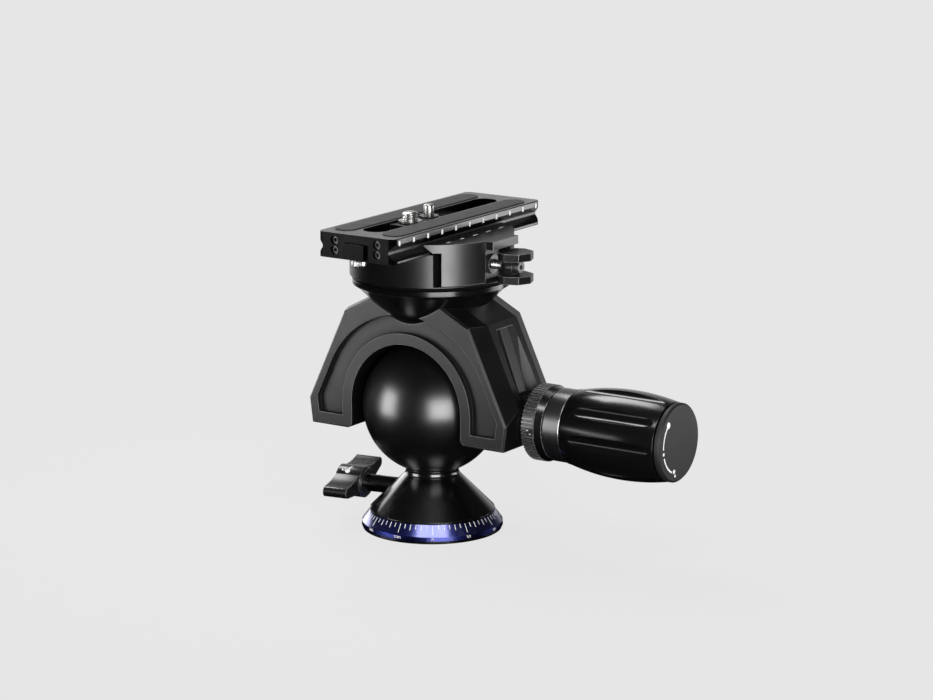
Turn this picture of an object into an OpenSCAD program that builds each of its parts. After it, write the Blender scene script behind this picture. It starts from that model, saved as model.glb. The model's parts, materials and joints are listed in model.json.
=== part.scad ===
// Ball head whose yoke rides over a fixed ball and carries a dovetail clamp with a quick plate.
// Millimetres. The origin is the mouth of the tripod thread, +Z is up, +X points along the handle
// and the quick plate runs along Y.

/* [Base] */
// Widest radius of the scale ring
base_r = 30; // [29:0.5:34]
// Height of the dark foot edge under the scale ring
foot_edge_h = 0.8; // [0.5:0.1:1.2]
// Height of the upright number band of the scale ring
ring_band_h = 2.2; // [1.8:0.1:3.5]
// Height of the sloping tick band of the scale ring
ring_slope_h = 4.5; // [3.5:0.1:6]
// Width of the sloping tick band, seen from above
ring_slope_w = 3.5; // [3:0.1:4.5]
// Radius of the neck under the ball
neck_r = 11.2; // [10:0.1:13]
// Radius of the fillet between cone and neck
neck_fillet = 3; // [1:0.5:5]
// Radius of the post that the cone turns on
post_r = 10; // [9.5:0.1:10.5]
// Wall radius of the tripod thread, a tapped 3/8 inch hole
tripod_hole_r = 3.97; // [3.2:0.01:4.2]
// Outer radius of the threaded tripod insert
insert_r = 8; // [7:0.1:8.5]
// Depth of the threaded tripod insert
insert_h = 10; // [9:0.1:11]

/* [Pan lock] */
// Angle of the pan lock about the upright axis, from -X
lock_az = 9; // [0:1:20]
// Height of the pan lock's axis
lock_z = 15.5; // [15:0.1:16.5]
// Radius of the smooth stud
stud_r = 3.7; // [3.2:0.1:4]
// Distance from the cone's foot to the inner face of the knob
lock_knob_gap = 4.1; // [3.8:0.1:8]
// Length of the knob along its axis
lock_knob_l = 12.4; // [10:0.1:16]
// Radius of the knob's hub
lock_hub_r = 6.7; // [6:0.1:7]
// Distance from the knob's axis to the centre of a wing tip
lock_wing_l = 15.7; // [14:0.1:16.5]
// Radius of the rounded wing tip
lock_tip_r = 2.3; // [1.8:0.1:3]
// Angle of each wing above a straight line through the hub
lock_wing_rise = 7; // [0:1:15]
// Turn of the knob as it stands
lock_turn = -12; // [-20:1:0]

/* [Ball] */
// Radius of the ball
ball_r = 29.2; // [28:0.1:30]
// Height of the ball's centre
ball_z = 53; // [52:0.5:60]

/* [Yoke] */
// Depth of the yoke from face to face
yoke_d = 40; // [36:1:46]
// Half width of the yoke across the knees
knee_hw = 49.7; // [48:0.1:52]
// Height of the knees above the ball's centre
knee_z = 0.6; // [0:0.1:4]
// How far the legs lean in below the knees
leg_lean = 1.4; // [0.8:0.1:3]
// Depth of the legs below the ball's centre
leg_drop = 10.3; // [9:0.1:11.5]
// Half width across the shoulders
shoulder_hw = 31.4; // [30:0.1:34]
// Height of the shoulders above the ball's centre
shoulder_z = 39.9; // [38:0.1:41]
// Half width of the flat crown
crown_hw = 16; // [14:0.5:18]
// Height of the crown above the ball's centre
crown_z = 47.9; // [46:0.1:49]
// Half width of the opening
open_hw = 27.5; // [27:0.1:28]
// Height of the opening's round above the ball's centre
arch_rise = 1.7; // [1.6:0.1:4]
// Width of the rim round the opening
rim_w = 4.7; // [3:0.1:6]
// Width of the border of the face pocket on the legs
pocket_border = 4.6; // [3:0.1:6]
// Width of the border of the face pocket on the slanted sides
pocket_side = 3.5; // [2.5:0.1:4.5]
// Depth of the face pocket
pocket_d = 2.3; // [1:0.1:3]
// Chamfer of the yoke's outer edges
yoke_edge = 0.8; // [0.4:0.1:1.2]
// Half depth of the raised middle of the outer sides
side_hd = 11; // [10:0.5:14]
// Rise of the middle of the outer sides over their edges
side_rise = 3.3; // [2:0.1:4]
// Half width of the groove in the outer sides
groove_hw = 8.7; // [7:0.1:9.5]
// Depth of that groove at its lower end
groove_d = 5.5; // [4:0.1:6.5]
// Half width of the rib in the groove
rib_hw = 2.8; // [1.5:0.1:3.2]
// Depth of the rib below the raised middle at its lower end
rib_d = 3; // [1.5:0.1:3.5]

/* [Ball brake] */
// Radius of the brake shoes
shoe_r = 9.5; // [8:0.1:10.5]
// Distance from the ball's centre to the back of a brake shoe
shoe_back = 36; // [34:0.1:37]
// Radius of the crown pad
pad_r = 8.5; // [7:0.1:9]
// Thickness of the crown pad over the top of the ball
pad_t = 3; // [2.5:0.1:3.5]

/* [Handle] */
// Radius of the yoke's boss for the handle
boss_r = 11.2; // [10:0.1:12]
// How far the boss stands out past the knees
boss_out = 4.7; // [4.2:0.1:8]
// Radius of the friction ring over its knurl
ring_r = 16; // [15:0.1:17]
// Length of the friction ring
ring_l = 8.9; // [8:0.1:11]
// Length of the knurl on the friction ring
knurl_l = 5.6; // [4:0.1:7]
// Number of knurl teeth
knurl_n = 60; // [36:1:72]
// Radius of the smooth collar
collar_r = 15.2; // [14:0.1:16]
// Length of the smooth collar
collar_l = 8.3; // [6:0.1:10]
// Length of the barrel grip
grip_l = 44.6; // [40:0.1:50]
// Radius of the barrel grip at its widest
grip_r = 18.5; // [17.5:0.1:20]
// Radius of the long arc of the barrel
barrel_arc_r = 98; // [90:1:130]
// Distance from the collar to the widest place of the barrel
barrel_mid = 24; // [20:0.5:26]
// Number of flutes
flute_n = 9; // [7:1:11]
// Radius of a flute
flute_r = 3.6; // [3:0.1:6]
// Depth of a flute at the widest place
flute_d = 1.9; // [0.8:0.1:2]
// Radius of the end cap
cap_r = 16.2; // [15:0.1:17]
// Thickness of the end cap
cap_t = 2.6; // [2:0.1:4]
// Radius of the spindle
spindle_r = 5; // [4.5:0.1:5.5]
// Outer radius of the threaded bush
bush_r = 8; // [7:0.1:9]

/* [Clamp] */
// Radius of the bowl's seat in the crown
bowl_foot_r = 15.2; // [14.5:0.1:16]
// Height of that seat above the ball's centre
bowl_foot_z = 35.5; // [35.5:0.1:36.5]
// Height of the bowl
bowl_h = 19.4; // [19:0.1:22]
// Height of the bowl's straight flank
bowl_flank_h = 15.7; // [14:0.1:16.5]
// Radius of the drum
drum_r = 34.4; // [34:0.1:36]
// Height of the drum up to the floor under the plate
drum_h = 15.6; // [15:0.1:18]
// Height of the round flange below the moving jaw
flange_h = 2.2; // [2:0.1:2.6]
// Where the fixed body ends
split_x = 19.7; // [19.6:0.1:20]
// Width of the gap between fixed body and jaw
split_gap = 2.7; // [2:0.1:3]
// Height of the jaws over the floor
jaw_h = 4.25; // [4:0.05:4.7]
// Half width of the flat lug on the jaw
lug_hw = 9.5; // [9:0.5:12]
// Distance from the upright axis to the face of that lug
lug_x = 36.7; // [36.2:0.1:38]
// Height of the clamp screw's axis below the floor
screw_drop = 6.9; // [6.8:0.1:7.4]
// Radius of the clamp screw
screw_r = 2; // [1.6:0.1:2.2]
// Distance from the clamp knob's inner face to the middle of its octagons
knob_mid = 4; // [3.5:0.1:5]
// Radius of those octagons over their corners
knob_r = 8; // [7:0.1:8.5]
// Height of the clamp knob across its octagons
knob_h = 12.6; // [12:0.1:13.5]
// Thickness of an octagon
knob_wing_t = 3.2; // [2.5:0.1:3.5]

/* [Quick plate] */
// Width of the plate over its dovetail
plate_w = 38; // [37.8:0.1:38.2]
// Length of the plate with its end blocks
plate_l = 110; // [104:1:120]
// Height of the plate
plate_h = 10.45; // [10.4:0.05:12]
// Height of the dovetail's upright edge
flange_edge = 1.2; // [1:0.1:1.4]
// Depth of the side groove
neck_in = 2.8; // [2.6:0.1:3]
// Height of the bottom of the side groove
neck_h = 1.2; // [1:0.1:1.5]
// Thickness of an end block
end_t = 5; // [4.5:0.1:6]
// Rounding of the end blocks' upright corners
end_round = 3.2; // [2:0.1:4]
// Half width of the slot
slot_hw = 5.5; // [5:0.1:6]
// Distance from the slot's end to the end of the bar
slot_end = 4.5; // [4:0.1:6]
// Half width of the channel under the slot
channel_hw = 8.75; // [8:0.05:9.2]
// Height of that channel
channel_h = 5.6; // [5:0.1:6]
// Inner edge of a rubber strip
strip_in = 7; // [6.6:0.1:8]
// Outer edge of a rubber strip
strip_out = 16.6; // [15:0.1:17]
// Distance from a rubber strip's end to the end of the bar
strip_end = 1; // [0.5:0.1:4]
// Depth of a rubber strip in the plate
strip_d = 1; // [0.6:0.1:1.4]
// How far a rubber strip stands over the plate
strip_rise = 0.3; // [0.1:0.1:0.6]
// Radius of the camera screw, 1/4 inch
camera_r = 3.175; // [3:0.005:3.2]
// Height of the camera screw over the plate
camera_h = 4; // [3.5:0.1:6.5]
// Place of the camera screw along the plate
camera_y = -15.8; // [-18:0.1:-15.2]
// Radius of the anti-twist pin
pin_r = 2.15; // [1.8:0.05:2.3]
// Height of the anti-twist pin over the plate
pin_h = 4.9; // [4:0.1:5.1]
// Place of the anti-twist pin along the plate
pin_y = -2; // [-2.6:0.1:4]

/* [Hidden] */
$fn = 64;

// Clearances: fit in a bore, free running gap, film between ball and shoes, overshoot of a cut
fit = 0.05;
gap = 0.3;
film = 0.05;
over = 1;

black = "#1d1d1f";
dark = "#29292b";
blue = "#2b3fb0";
steel = "#b9bbbd";
brass = "#b08d4a";
rubber = "#3a3a3c";
pom = "#d8d6d0";

// Base heights
foot_in = 0.5;
seat_h = foot_edge_h + 1.7;
seat_floor = 1;
ring_z = foot_edge_h + ring_band_h + ring_slope_h;
ring_seat_r = base_r - 2;
ring_edge = 0.4;
ring_taper = 0.2;
cone_r = base_r - ring_slope_w;
cone_lip = 0.4;
neck_land = 1;
ring_bore_r = cone_r - 4.1;
glide_t = 0.5;
cone_z = ring_z + gap;
post_z = lock_z + 4.5;
insert_flange_r = insert_r + 3;
insert_flange_t = 1.5;
base_screw_n = 3;
base_screw_turn = 30;
base_screw_r = 1.4;
base_screw_head_r = 2.4;
base_screw_head_h = 1.2;
base_screw_skin = 1.2;
base_screw_pcr = (ring_seat_r + ring_bore_r) / 2;
ball_flat_z = ball_z - sqrt(ball_r * ball_r - neck_r * neck_r);

// Pan bolt: its head hangs below the post's web on a thrust washer
bolt_r = 3;
bolt_shoulder_r = 4;
bolt_head_r = 6;
bolt_head_t = 4;
bolt_head_z = insert_h + gap;
washer_z = bolt_head_z + bolt_head_t;
washer_t = 0.5;
bolt_depth = 16;
bolt_hex_r = 2.5;
bolt_hex_d = 2.5;

// Pan lock along its own axis
lock_knob_x = cone_r + lock_knob_gap;
thread_r = 3;
pad_len = 2.4;
pad_gap = 0.2;
pad_x = post_r + film;
stud_tip_x = pad_x + pad_len + pad_gap;
stud_thread_l = 7;
stud_step_x = post_r + stud_thread_l;
stud_bite = 6;
stud_end_x = lock_knob_x + stud_bite;
lock_tap_d = 4;
lock_screw_r = 1.5;
lock_screw_head_r = 3;
lock_screw_head_h = 1.8;
lock_screw_depth = 2.2;
lock_hex_r = 1.2;
lock_hex_d = 1.2;
lock_hub_edge = 0.8;
lock_wing_back = 1.5;
// The wing's upper side is an arc of small rise from the hub to the tip, with fine grooves on one wing
lock_root = [1, -lock_hub_r + 0.2];
lock_root_high = 4.7;
lock_tip = [lock_wing_l, -lock_tip_r];
lock_dip = 1.1;
lock_chord = norm(lock_tip - lock_root);
lock_arc_r = (lock_chord * lock_chord / 4 + lock_dip * lock_dip) / (2 * lock_dip);
lock_arc_c = (lock_root + lock_tip) / 2 + (lock_arc_r - lock_dip) * edge_normal(lock_root, lock_tip);
lock_grooves = [0.32, 0.46, 0.6, 0.74];
lock_groove_r = 0.5;
lock_groove_d = 0.3;

// Yoke outline about the ball's centre, anticlockwise from the right leg
leg_hw = knee_hw - leg_lean;
yoke_half = [[leg_hw, -leg_drop], [knee_hw, knee_z], [shoulder_hw, shoulder_z], [crown_hw, crown_z]];
yoke_outline = concat(yoke_half, [for (i = [len(yoke_half) - 1:-1:0]) [-yoke_half[i][0], yoke_half[i][1]]]);
// The pocket's outer arc about the ball's centre touches the pocket's straight sides
side_normal = edge_normal(yoke_half[1], yoke_half[2]);
pocket_arc_r = side_normal * yoke_half[1] - pocket_side;
// Shares of an offset for the outline's edges: mostly the slanted sides, or the whole outline
on_sides = [0, 1, 0.5, 0.5, 0.5, 1, 0, 0];
on_all = [1, 1, 1, 1, 1, 1, 1, 1];
slope = [shoulder_hw - knee_hw, shoulder_z - knee_z];
slope_l = norm(slope);
slope_tilt = atan2(-slope[0], slope[1]);
groove_low = 9;
groove_high = slope_l - 4.5;
groove_top_d = 1.4;
rib_top_d = 0.5;
groove_floor_hw = 4.2;
groove_slice = 0.1;
leg_round = 3;

// Socket screws of bowl and clamp
m3_r = 1.5;
m3_head_r = 3;
m3_head_h = 3;
m3_hex_r = 1.4;
m3_n = 4;
bowl_floor = 5;
bowl_bite = 3;
bowl_tap = 3.5;
clamp_floor = 2;
clamp_bite = 7;
clamp_tap = 8;
tap_spare = 0.5;

// Handle stations along X
boss_x = knee_hw + boss_out;
boss_root = 4;
plug_r = 5;
plug_gap = 0.4;
bush_in = 7;
bush_x = shoe_back + bush_in;
plug_short = 2.2;
plug_end_x = bush_x - plug_short;
spindle_tip_x = plug_end_x + plug_gap;
ring_x = boss_x + 0.2;
knurl_d = 0.5;
ring_shoulder = 0.3;
window_x = 3.8;
window_w = 3.8;
window_d = 1;
window_turn = -86;
bush_end_x = ring_x + ring_l - 1;
collar_x = ring_x + ring_l + gap;
grip_x = collar_x + collar_l;
grip_end_x = grip_x + grip_l;
cap_x = grip_end_x + 0.5;
core_r = 12;
core_l = grip_l - 3;
spindle_end_x = grip_x + core_l - 2;
handle_screw_r = 2.5;
handle_screw_l = 12;
handle_head_r = 4.5;
handle_head_h = 4;
handle_hex_r = 2;
handle_hex_d = 2;
collar_edge = 0.6;
collar_end_edge = 0.4;
flute_start = 30;
flute_turn = 3;
cap_edge = 0.7;
cap_back_edge = 0.5;
cap_neck_in = 1.6;
cap_spigot = 0.3;

// Heights of bowl, clamp and plate
bowl_z = ball_z + bowl_foot_z;
drum_z = bowl_z + bowl_h;
floor_z = drum_z + drum_h;
plate_z = floor_z + fit;
plate_top = plate_z + plate_h;
jaw_z = drum_z + flange_h + gap;
jaw_top = floor_z + jaw_h;
jaw_x = split_x + split_gap;
clamp_axis_z = floor_z - screw_drop;
drum_edge = 1.8;
knob_x = lug_x + gap;
bowl_rim_in = 1;
bowl_rim_edge = 0.2;
bowl_rim_h = 1.6;
knob_hub_r = 3.6;
knob_hub_l = 4.9;
knob_web_hw = 2.6;
knob_skin = 1.5;
cap_thread_r = 1.2;
cap_bite = 3.5;
cap_head_r = 2.5;
cap_head_h = 2.4;
cap_hex_r = 1.1;
cap_hex_d = 1.4;
clip_r = 3.6;
clip_t = 0.8;
jaw_recess_x = 29.5;
jaw_boss_r = 4;
jaw_boss_h = 1.5;
screw_run = 0.1;
clamp_screw_bite = 13;
guide_bite = 11.5;
guide_play = 0.5;
bowl_screw_pcr = bowl_foot_r - 3.4;
clamp_screw_pcr = bowl_foot_r + 2.5;
pin_gauge = 20;
guide_r = 2;
guide_reach = 3.2;
guide_l = guide_bite + split_gap + guide_reach;

// Dovetail: the jaw's slope runs beside the plate's slope at the film's distance
plate_hw = plate_w / 2;
neck_hw = plate_hw - neck_in;
slope_sum = plate_hw + flange_edge + film * sqrt(2);
nose_edge = 0.3;
nose_flat = 0.05;
neck_gap = 0.25;
nose_x = max(neck_hw + neck_gap, slope_sum + plate_z + nose_edge + nose_flat - jaw_top);
lip_h = 0.7;
dove_edge = 0.4;
rim_edge = 0.3;

// Plate fittings
bar_l = plate_l - 2 * end_t;
slot_hl = bar_l / 2 - slot_end;
channel_out = 2;
strip_hl = bar_l / 2 - strip_end;
strip_x = (strip_in + strip_out) / 2;
strip_hw = (strip_out - strip_in) / 2;
tab_hw = 5.2;
tab_out = 1.8;
tab_low = 0.5;
tab_h = 6.3;
end_screw_x = 10.4;
end_screw_zs = [3.3, 7.4];
end_screw_r = 1;
end_screw_head_r = 1.8;
end_screw_head_h = 1.6;
end_screw_sunk = 1;
end_screw_bite = 5;
end_hex_r = 0.9;
end_hex_d = 0.8;
stop_r = 1.5;
stop_bite = 5.5;
stop_y = plate_l / 2 - end_t / 2;
stop_head_r = 3;
stop_head_h = 2.9;
slider_l = 14;
pin_slider_l = 10;
flange_t = 0.8;
flange_top = plate_top - 2 * gap + flange_t;
camera_flange_r = 4.85;
camera_head_r = 5.4;
camera_head_h = 2.8;
camera_hex_r = 2.4;
camera_hex_d = 2.4;
pin_disc_r = 4;
pin_collar_r = 3;
pin_collar_h = 1;
pin_travel = 5.2;
pin_play = 0.2;
// Screw and pin have a thinner neck, up to just above the flanges
neck_d = 0.3;
neck_top = flange_top + 0.2;

function unit(v) = v / norm(v);
function edge_normal(a, b) = unit([b[1] - a[1], a[0] - b[0]]);
// Convex anticlockwise outline p with its edge i moved outwards by d[i]
function moved(p, d) = [for (i = [0:len(p) - 1])
    let (k = (i + len(p) - 1) % len(p), b = p[i])
    let (n = edge_normal(p[k], b), m = edge_normal(b, p[(i + 1) % len(p)]), c = n * m)
    b + (d[k] * (n - c * m) + d[i] * (m - c * n)) / (1 - c * c)];
// Teeth of a straight knurl: two points out and two in for each tooth
function knurl(n, r, d) = [for (i = [0:n - 1], k = [0:3])
    let (turn = 360 * (i + [0, 0.42, 0.58, 0.92][k]) / n, q = k < 2 ? r : r - d) q * [cos(turn), sin(turn)]];

// Children stand on the handle's axis, their own Z along +X from distance x
module on_handle(x) { translate([x, 0, ball_z]) rotate([0, 90, 0]) children(); }
// Children stand on the clamp screw's axis, their own Z along +X
module on_clamp(x) { translate([x, 0, clamp_axis_z]) rotate([0, 90, 0]) children(); }
// Children stand on the pan lock's axis, their own Z pointing out of the cone
module on_lock(x) { rotate([0, 0, lock_az]) translate([-x, 0, lock_z]) rotate([0, -90, 0]) children(); }
// Outline in X and Z drawn through the depth d along Y
module upright(d) { rotate([90, 0, 0]) linear_extrude(d, center = true) children(); }
module slab(p, d) { upright(d) polygon(p); }
// Slot outline with round ends along Y
module stadium(hw, hl) {
  square([2 * hw, 2 * (hl - hw)], center = true);
  for (s = [-1, 1]) translate([0, s * (hl - hw)]) circle(r = hw);
}
// Children repeated n times round the Z axis at radius r
module ring_of(n, r, start = 0) {
  for (i = [0:n - 1]) rotate([0, 0, start + 360 * i / n]) translate([r, 0, 0]) children();
}
module tube(r_out, r_in, h) {
  difference() {
    cylinder(r = r_out, h = h);
    translate([0, 0, -over]) cylinder(r = r_in, h = h + 2 * over);
  }
}

// Head of a socket screw with its hexagon
module socket_head() {
  difference() {
    cylinder(r = m3_head_r, h = m3_head_h);
    translate([0, 0, m3_head_h / 2]) cylinder(r = m3_hex_r, h = m3_head_h, $fn = 6);
  }
}

module base_plate() {
  color(black) difference() {
    union() {
      cylinder(r = base_r - foot_in, h = foot_edge_h);
      cylinder(r = ring_seat_r, h = seat_h);
      cylinder(r = post_r, h = post_z);
    }
    translate([0, 0, -over]) cylinder(r = insert_flange_r + fit, h = insert_flange_t + over);
    cylinder(r = insert_r + fit, h = insert_h);
    translate([0, 0, insert_h - fit])
      cylinder(r = bolt_head_r + gap, h = washer_z + washer_t - insert_h + fit);
    cylinder(r = bolt_shoulder_r + gap / 2, h = post_z + over);
    ring_of(base_screw_n, base_screw_pcr, base_screw_turn) {
      translate([0, 0, -over]) cylinder(r = base_screw_head_r + gap, h = seat_h - seat_floor + over);
      cylinder(r = base_screw_r + fit, h = seat_h + over);
    }
  }
}

module tripod_insert() {
  color(steel) difference() {
    union() {
      cylinder(r = insert_flange_r, h = insert_flange_t);
      cylinder(r = insert_r, h = insert_h);
    }
    translate([0, 0, -over]) cylinder(r = tripod_hole_r, h = insert_h + 2 * over);
  }
}

module scale_ring() {
  color(blue) difference() {
    rotate_extrude() polygon([
      [ring_bore_r, seat_h], [ring_seat_r + fit, seat_h], [ring_seat_r + fit, foot_edge_h],
      [base_r - ring_edge, foot_edge_h], [base_r, foot_edge_h + ring_edge],
      [base_r - ring_taper, foot_edge_h + ring_band_h], [cone_r, ring_z], [ring_bore_r, ring_z]]);
    ring_of(base_screw_n, base_screw_pcr, base_screw_turn)
      cylinder(r = base_screw_r + fit, h = ring_z - base_screw_skin);
  }
}

module base_screws() {
  head_z = seat_h - seat_floor - base_screw_head_h;
  color(steel) ring_of(base_screw_n, base_screw_pcr, base_screw_turn) translate([0, 0, head_z]) {
    cylinder(r = base_screw_head_r, h = base_screw_head_h);
    cylinder(r = base_screw_r, h = ring_z - base_screw_skin - gap - head_z);
  }
}

module pan_glide_ring() {
  color(pom) translate([0, 0, seat_h]) tube(ring_bore_r - gap, post_r + gap, glide_t);
}

// The flank leaves the scale ring and runs tangent into the neck's fillet
module pan_cone() {
  fillet_c = [neck_r + neck_fillet, ball_flat_z - neck_land];
  foot = [cone_r, cone_z + cone_lip];
  away = fillet_c - foot;
  lean = atan2(away[1], away[0]) + asin(neck_fillet / norm(away));
  flank = sqrt(away * away - neck_fillet * neck_fillet);
  tangent = foot + flank * [cos(lean), sin(lean)];
  color(black) difference() {
    rotate_extrude() difference() {
      polygon([[bolt_r + fit, post_z + gap], [post_r + fit, post_z + gap], [post_r + fit, seat_h + glide_t],
        [ring_bore_r - gap, seat_h + glide_t], [ring_bore_r - gap, cone_z], [cone_r, cone_z],
        foot, tangent, fillet_c, [neck_r, fillet_c[1]], [neck_r, ball_flat_z],
        [bolt_r + fit, ball_flat_z]]);
      translate(fillet_c) circle(r = neck_fillet);
    }
    on_lock(0) cylinder(r = thread_r + fit, h = cone_r);
    on_lock(stud_step_x) cylinder(r = stud_r + gap, h = cone_r);
  }
}

module ball() {
  color(black) difference() {
    translate([0, 0, ball_z]) sphere(r = ball_r, $fn = 96);
    translate([-ball_r, -ball_r, ball_flat_z - 2 * ball_r]) cube(2 * ball_r);
    translate([0, 0, ball_flat_z - over]) cylinder(r = bolt_r + fit, h = bolt_depth + 2 * over);
  }
}

module pan_bolt() {
  color(steel) difference() {
    union() {
      translate([0, 0, bolt_head_z]) cylinder(r = bolt_head_r, h = bolt_head_t);
      translate([0, 0, bolt_head_z]) cylinder(r = bolt_shoulder_r, h = post_z + gap - bolt_head_z);
      translate([0, 0, bolt_head_z]) cylinder(r = bolt_r, h = ball_flat_z + bolt_depth - bolt_head_z);
    }
    translate([0, 0, bolt_head_z - over]) cylinder(r = bolt_hex_r, h = bolt_hex_d + over, $fn = 6);
  }
}

module pan_thrust_washer() {
  color(brass) translate([0, 0, washer_z]) tube(bolt_head_r, bolt_shoulder_r + fit, washer_t);
}

module pan_brake_pad() {
  color(brass) on_lock(pad_x) cylinder(r = thread_r - fit, h = pad_len);
}

module pan_lock_stud() {
  color(dark) difference() {
    union() {
      on_lock(stud_tip_x) cylinder(r = thread_r, h = stud_step_x - stud_tip_x);
      on_lock(stud_step_x) cylinder(r = stud_r, h = stud_end_x - stud_step_x);
    }
    on_lock(stud_end_x - lock_tap_d) cylinder(r = lock_screw_r + fit, h = lock_tap_d + over);
  }
}

// Wing from the hub to its round tip, drawn along +X, with its hollow upper side towards -Y
module lock_wing() {
  difference() {
    union() {
      polygon([[0, lock_root[1]], lock_root, lock_tip, [lock_wing_l, lock_tip_r], [0, lock_root_high]]);
      translate([lock_wing_l, 0]) circle(r = lock_tip_r);
    }
    translate(lock_arc_c) circle(r = lock_arc_r, $fn = 180);
  }
}

// Fine grooves across the hollow side of a wing
module lock_wing_grooves() {
  from = lock_root - lock_arc_c;
  to = lock_tip - lock_arc_c;
  from_turn = atan2(from[1], from[0]);
  swing = atan2(to[1], to[0]) - from_turn;
  for (g = lock_grooves) translate(lock_arc_c) rotate(from_turn + g * swing)
    translate([lock_arc_r + lock_groove_d - lock_groove_r, 0]) circle(r = lock_groove_r, $fn = 24);
}

module pan_lock_knob() {
  color(black) on_lock(lock_knob_x) difference() {
    union() {
      rotate_extrude() polygon([[0, 0], [lock_hub_r - lock_hub_edge, 0], [lock_hub_r, lock_hub_edge],
        [lock_hub_r, lock_knob_l], [0, lock_knob_l]]);
      translate([0, 0, lock_wing_back]) linear_extrude(lock_knob_l - lock_wing_back) rotate(90 + lock_turn) {
        rotate(-lock_wing_rise) difference() {
          lock_wing();
          lock_wing_grooves();
        }
        mirror([1, 0]) rotate(-lock_wing_rise) lock_wing();
      }
    }
    translate([0, 0, -over]) cylinder(r = stud_r + fit, h = stud_end_x - lock_knob_x + over);
    cylinder(r = lock_screw_r + fit, h = lock_knob_l + over);
    translate([0, 0, lock_knob_l - lock_screw_depth]) cylinder(r = lock_screw_head_r + fit, h = lock_knob_l);
  }
}

module pan_knob_screw() {
  head_x = lock_knob_x + lock_knob_l - lock_screw_depth;
  tip_x = stud_end_x - lock_tap_d + gap;
  color(steel) difference() {
    union() {
      on_lock(tip_x) cylinder(r = lock_screw_r, h = head_x - tip_x + lock_screw_head_h / 2);
      on_lock(head_x) cylinder(r = lock_screw_head_r, h = lock_screw_head_h);
    }
    on_lock(head_x + lock_screw_head_h - lock_hex_d) cylinder(r = lock_hex_r, h = lock_hex_d + over, $fn = 6);
  }
}

// Brake shoe: a disc on the handle's axis with a hollow face against the ball
module shoe(side) {
  difference() {
    translate([0, 0, ball_z]) rotate([0, 90 * side, 0]) translate([0, 0, open_hw - over])
      cylinder(r = shoe_r, h = shoe_back - open_hw + over);
    translate([0, 0, ball_z]) sphere(r = ball_r + film, $fn = 96);
  }
}
module fixed_shoe() { color(pom) shoe(-1); }
module pressure_shoe() { color(pom) shoe(1); }

// Bowl profile from its seat to its rim, moved outwards by c
module bowl_profile(c = 0) {
  rim_r = drum_r - bowl_rim_in;
  polygon([[0, -c], [bowl_foot_r + c, -c], [bowl_foot_r + bowl_flank_h + c, bowl_flank_h - c],
    [rim_r - bowl_rim_edge + c, bowl_flank_h + bowl_rim_h - c], [rim_r + c, bowl_h], [0, bowl_h]]);
}

module yoke_opening() {
  translate([0, arch_rise]) circle(r = open_hw);
  translate([-open_hw, -2 * leg_drop]) square([2 * open_hw, 2 * leg_drop + arch_rise]);
  for (s = [-1, 1]) scale([s, 1]) difference() {
    translate([open_hw - over, -leg_drop - over]) square(leg_round + over);
    translate([open_hw + leg_round, -leg_drop + leg_round]) circle(r = leg_round);
  }
}

module face_pocket() {
  difference() {
    intersection() {
      polygon(moved(yoke_outline, -[pocket_border, pocket_side, pocket_side, pocket_side, pocket_side,
        pocket_side, pocket_border, pocket_border + yoke_edge]));
      union() {
        circle(r = pocket_arc_r);
        translate([-knee_hw, -2 * leg_drop])
          square([2 * knee_hw, 2 * leg_drop + pocket_arc_r * side_normal[1]]);
      }
    }
    translate([0, arch_rise]) circle(r = open_hw + rim_w);
    translate([-open_hw - rim_w, -2 * leg_drop]) square([2 * (open_hw + rim_w), 2 * leg_drop + arch_rise]);
  }
}

// Groove along the slanted side: deepest at its lower end, with sloping walls and a rib on its floor
module side_groove() {
  translate([knee_hw, 0, knee_z]) rotate([0, -slope_tilt, 0]) translate([side_rise, 0, 0]) difference() {
    hull() {
      translate([0, 0, groove_low]) linear_extrude(groove_slice) polygon([
        [over, -groove_hw], [over, groove_hw], [-groove_d, groove_floor_hw], [-groove_d, -groove_floor_hw]]);
      translate([0, 0, groove_high]) linear_extrude(groove_slice) polygon([
        [over, -groove_hw + over], [over, groove_hw - over], [-groove_top_d, groove_floor_hw],
        [-groove_top_d, -groove_floor_hw]]);
    }
    upright(2 * rib_hw) polygon([[-2 * groove_d, 0], [-rib_d, groove_low], [-rib_top_d, groove_high + over],
      [-2 * groove_d, groove_high + over]]);
  }
}

module yoke() {
  color(black) difference() {
    union() {
      translate([0, 0, ball_z]) difference() {
        hull() {
          slab(moved(yoke_outline, -yoke_edge * on_all), yoke_d);
          slab(yoke_outline, yoke_d - 2 * yoke_edge);
          slab(moved(yoke_outline, side_rise * on_sides), 2 * side_hd);
        }
        for (m = [0, 1]) mirror([m, 0, 0]) side_groove();
      }
      on_handle(open_hw + boss_root) cylinder(r = boss_r, h = boss_x - open_hw - boss_root);
    }
    translate([0, 0, ball_z]) {
      upright(yoke_d + 2 * over) yoke_opening();
      sphere(r = ball_r + gap, $fn = 96);
      translate([0, 0, -2 * leg_drop]) cylinder(r = ball_r + gap, h = 2 * leg_drop);
      for (m = [0, 1]) mirror([0, m, 0]) translate([0, -yoke_d / 2, 0]) upright(2 * pocket_d) face_pocket();
      translate([0, 0, bowl_foot_z]) rotate_extrude() bowl_profile(fit);
      cylinder(r = pad_r + fit, h = ball_r + film + pad_t);
      ring_of(m3_n, bowl_screw_pcr) translate([0, 0, bowl_foot_z - bowl_tap])
        cylinder(r = m3_r + fit, h = bowl_tap + over);
    }
    for (s = [-1, 1]) translate([0, 0, ball_z]) rotate([0, 90 * s, 0])
      cylinder(r = shoe_r + fit, h = shoe_back);
    on_handle(0) cylinder(r = plug_r + fit, h = boss_x + over);
    on_handle(bush_x) cylinder(r = bush_r + fit, h = boss_x);
  }
}

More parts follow.
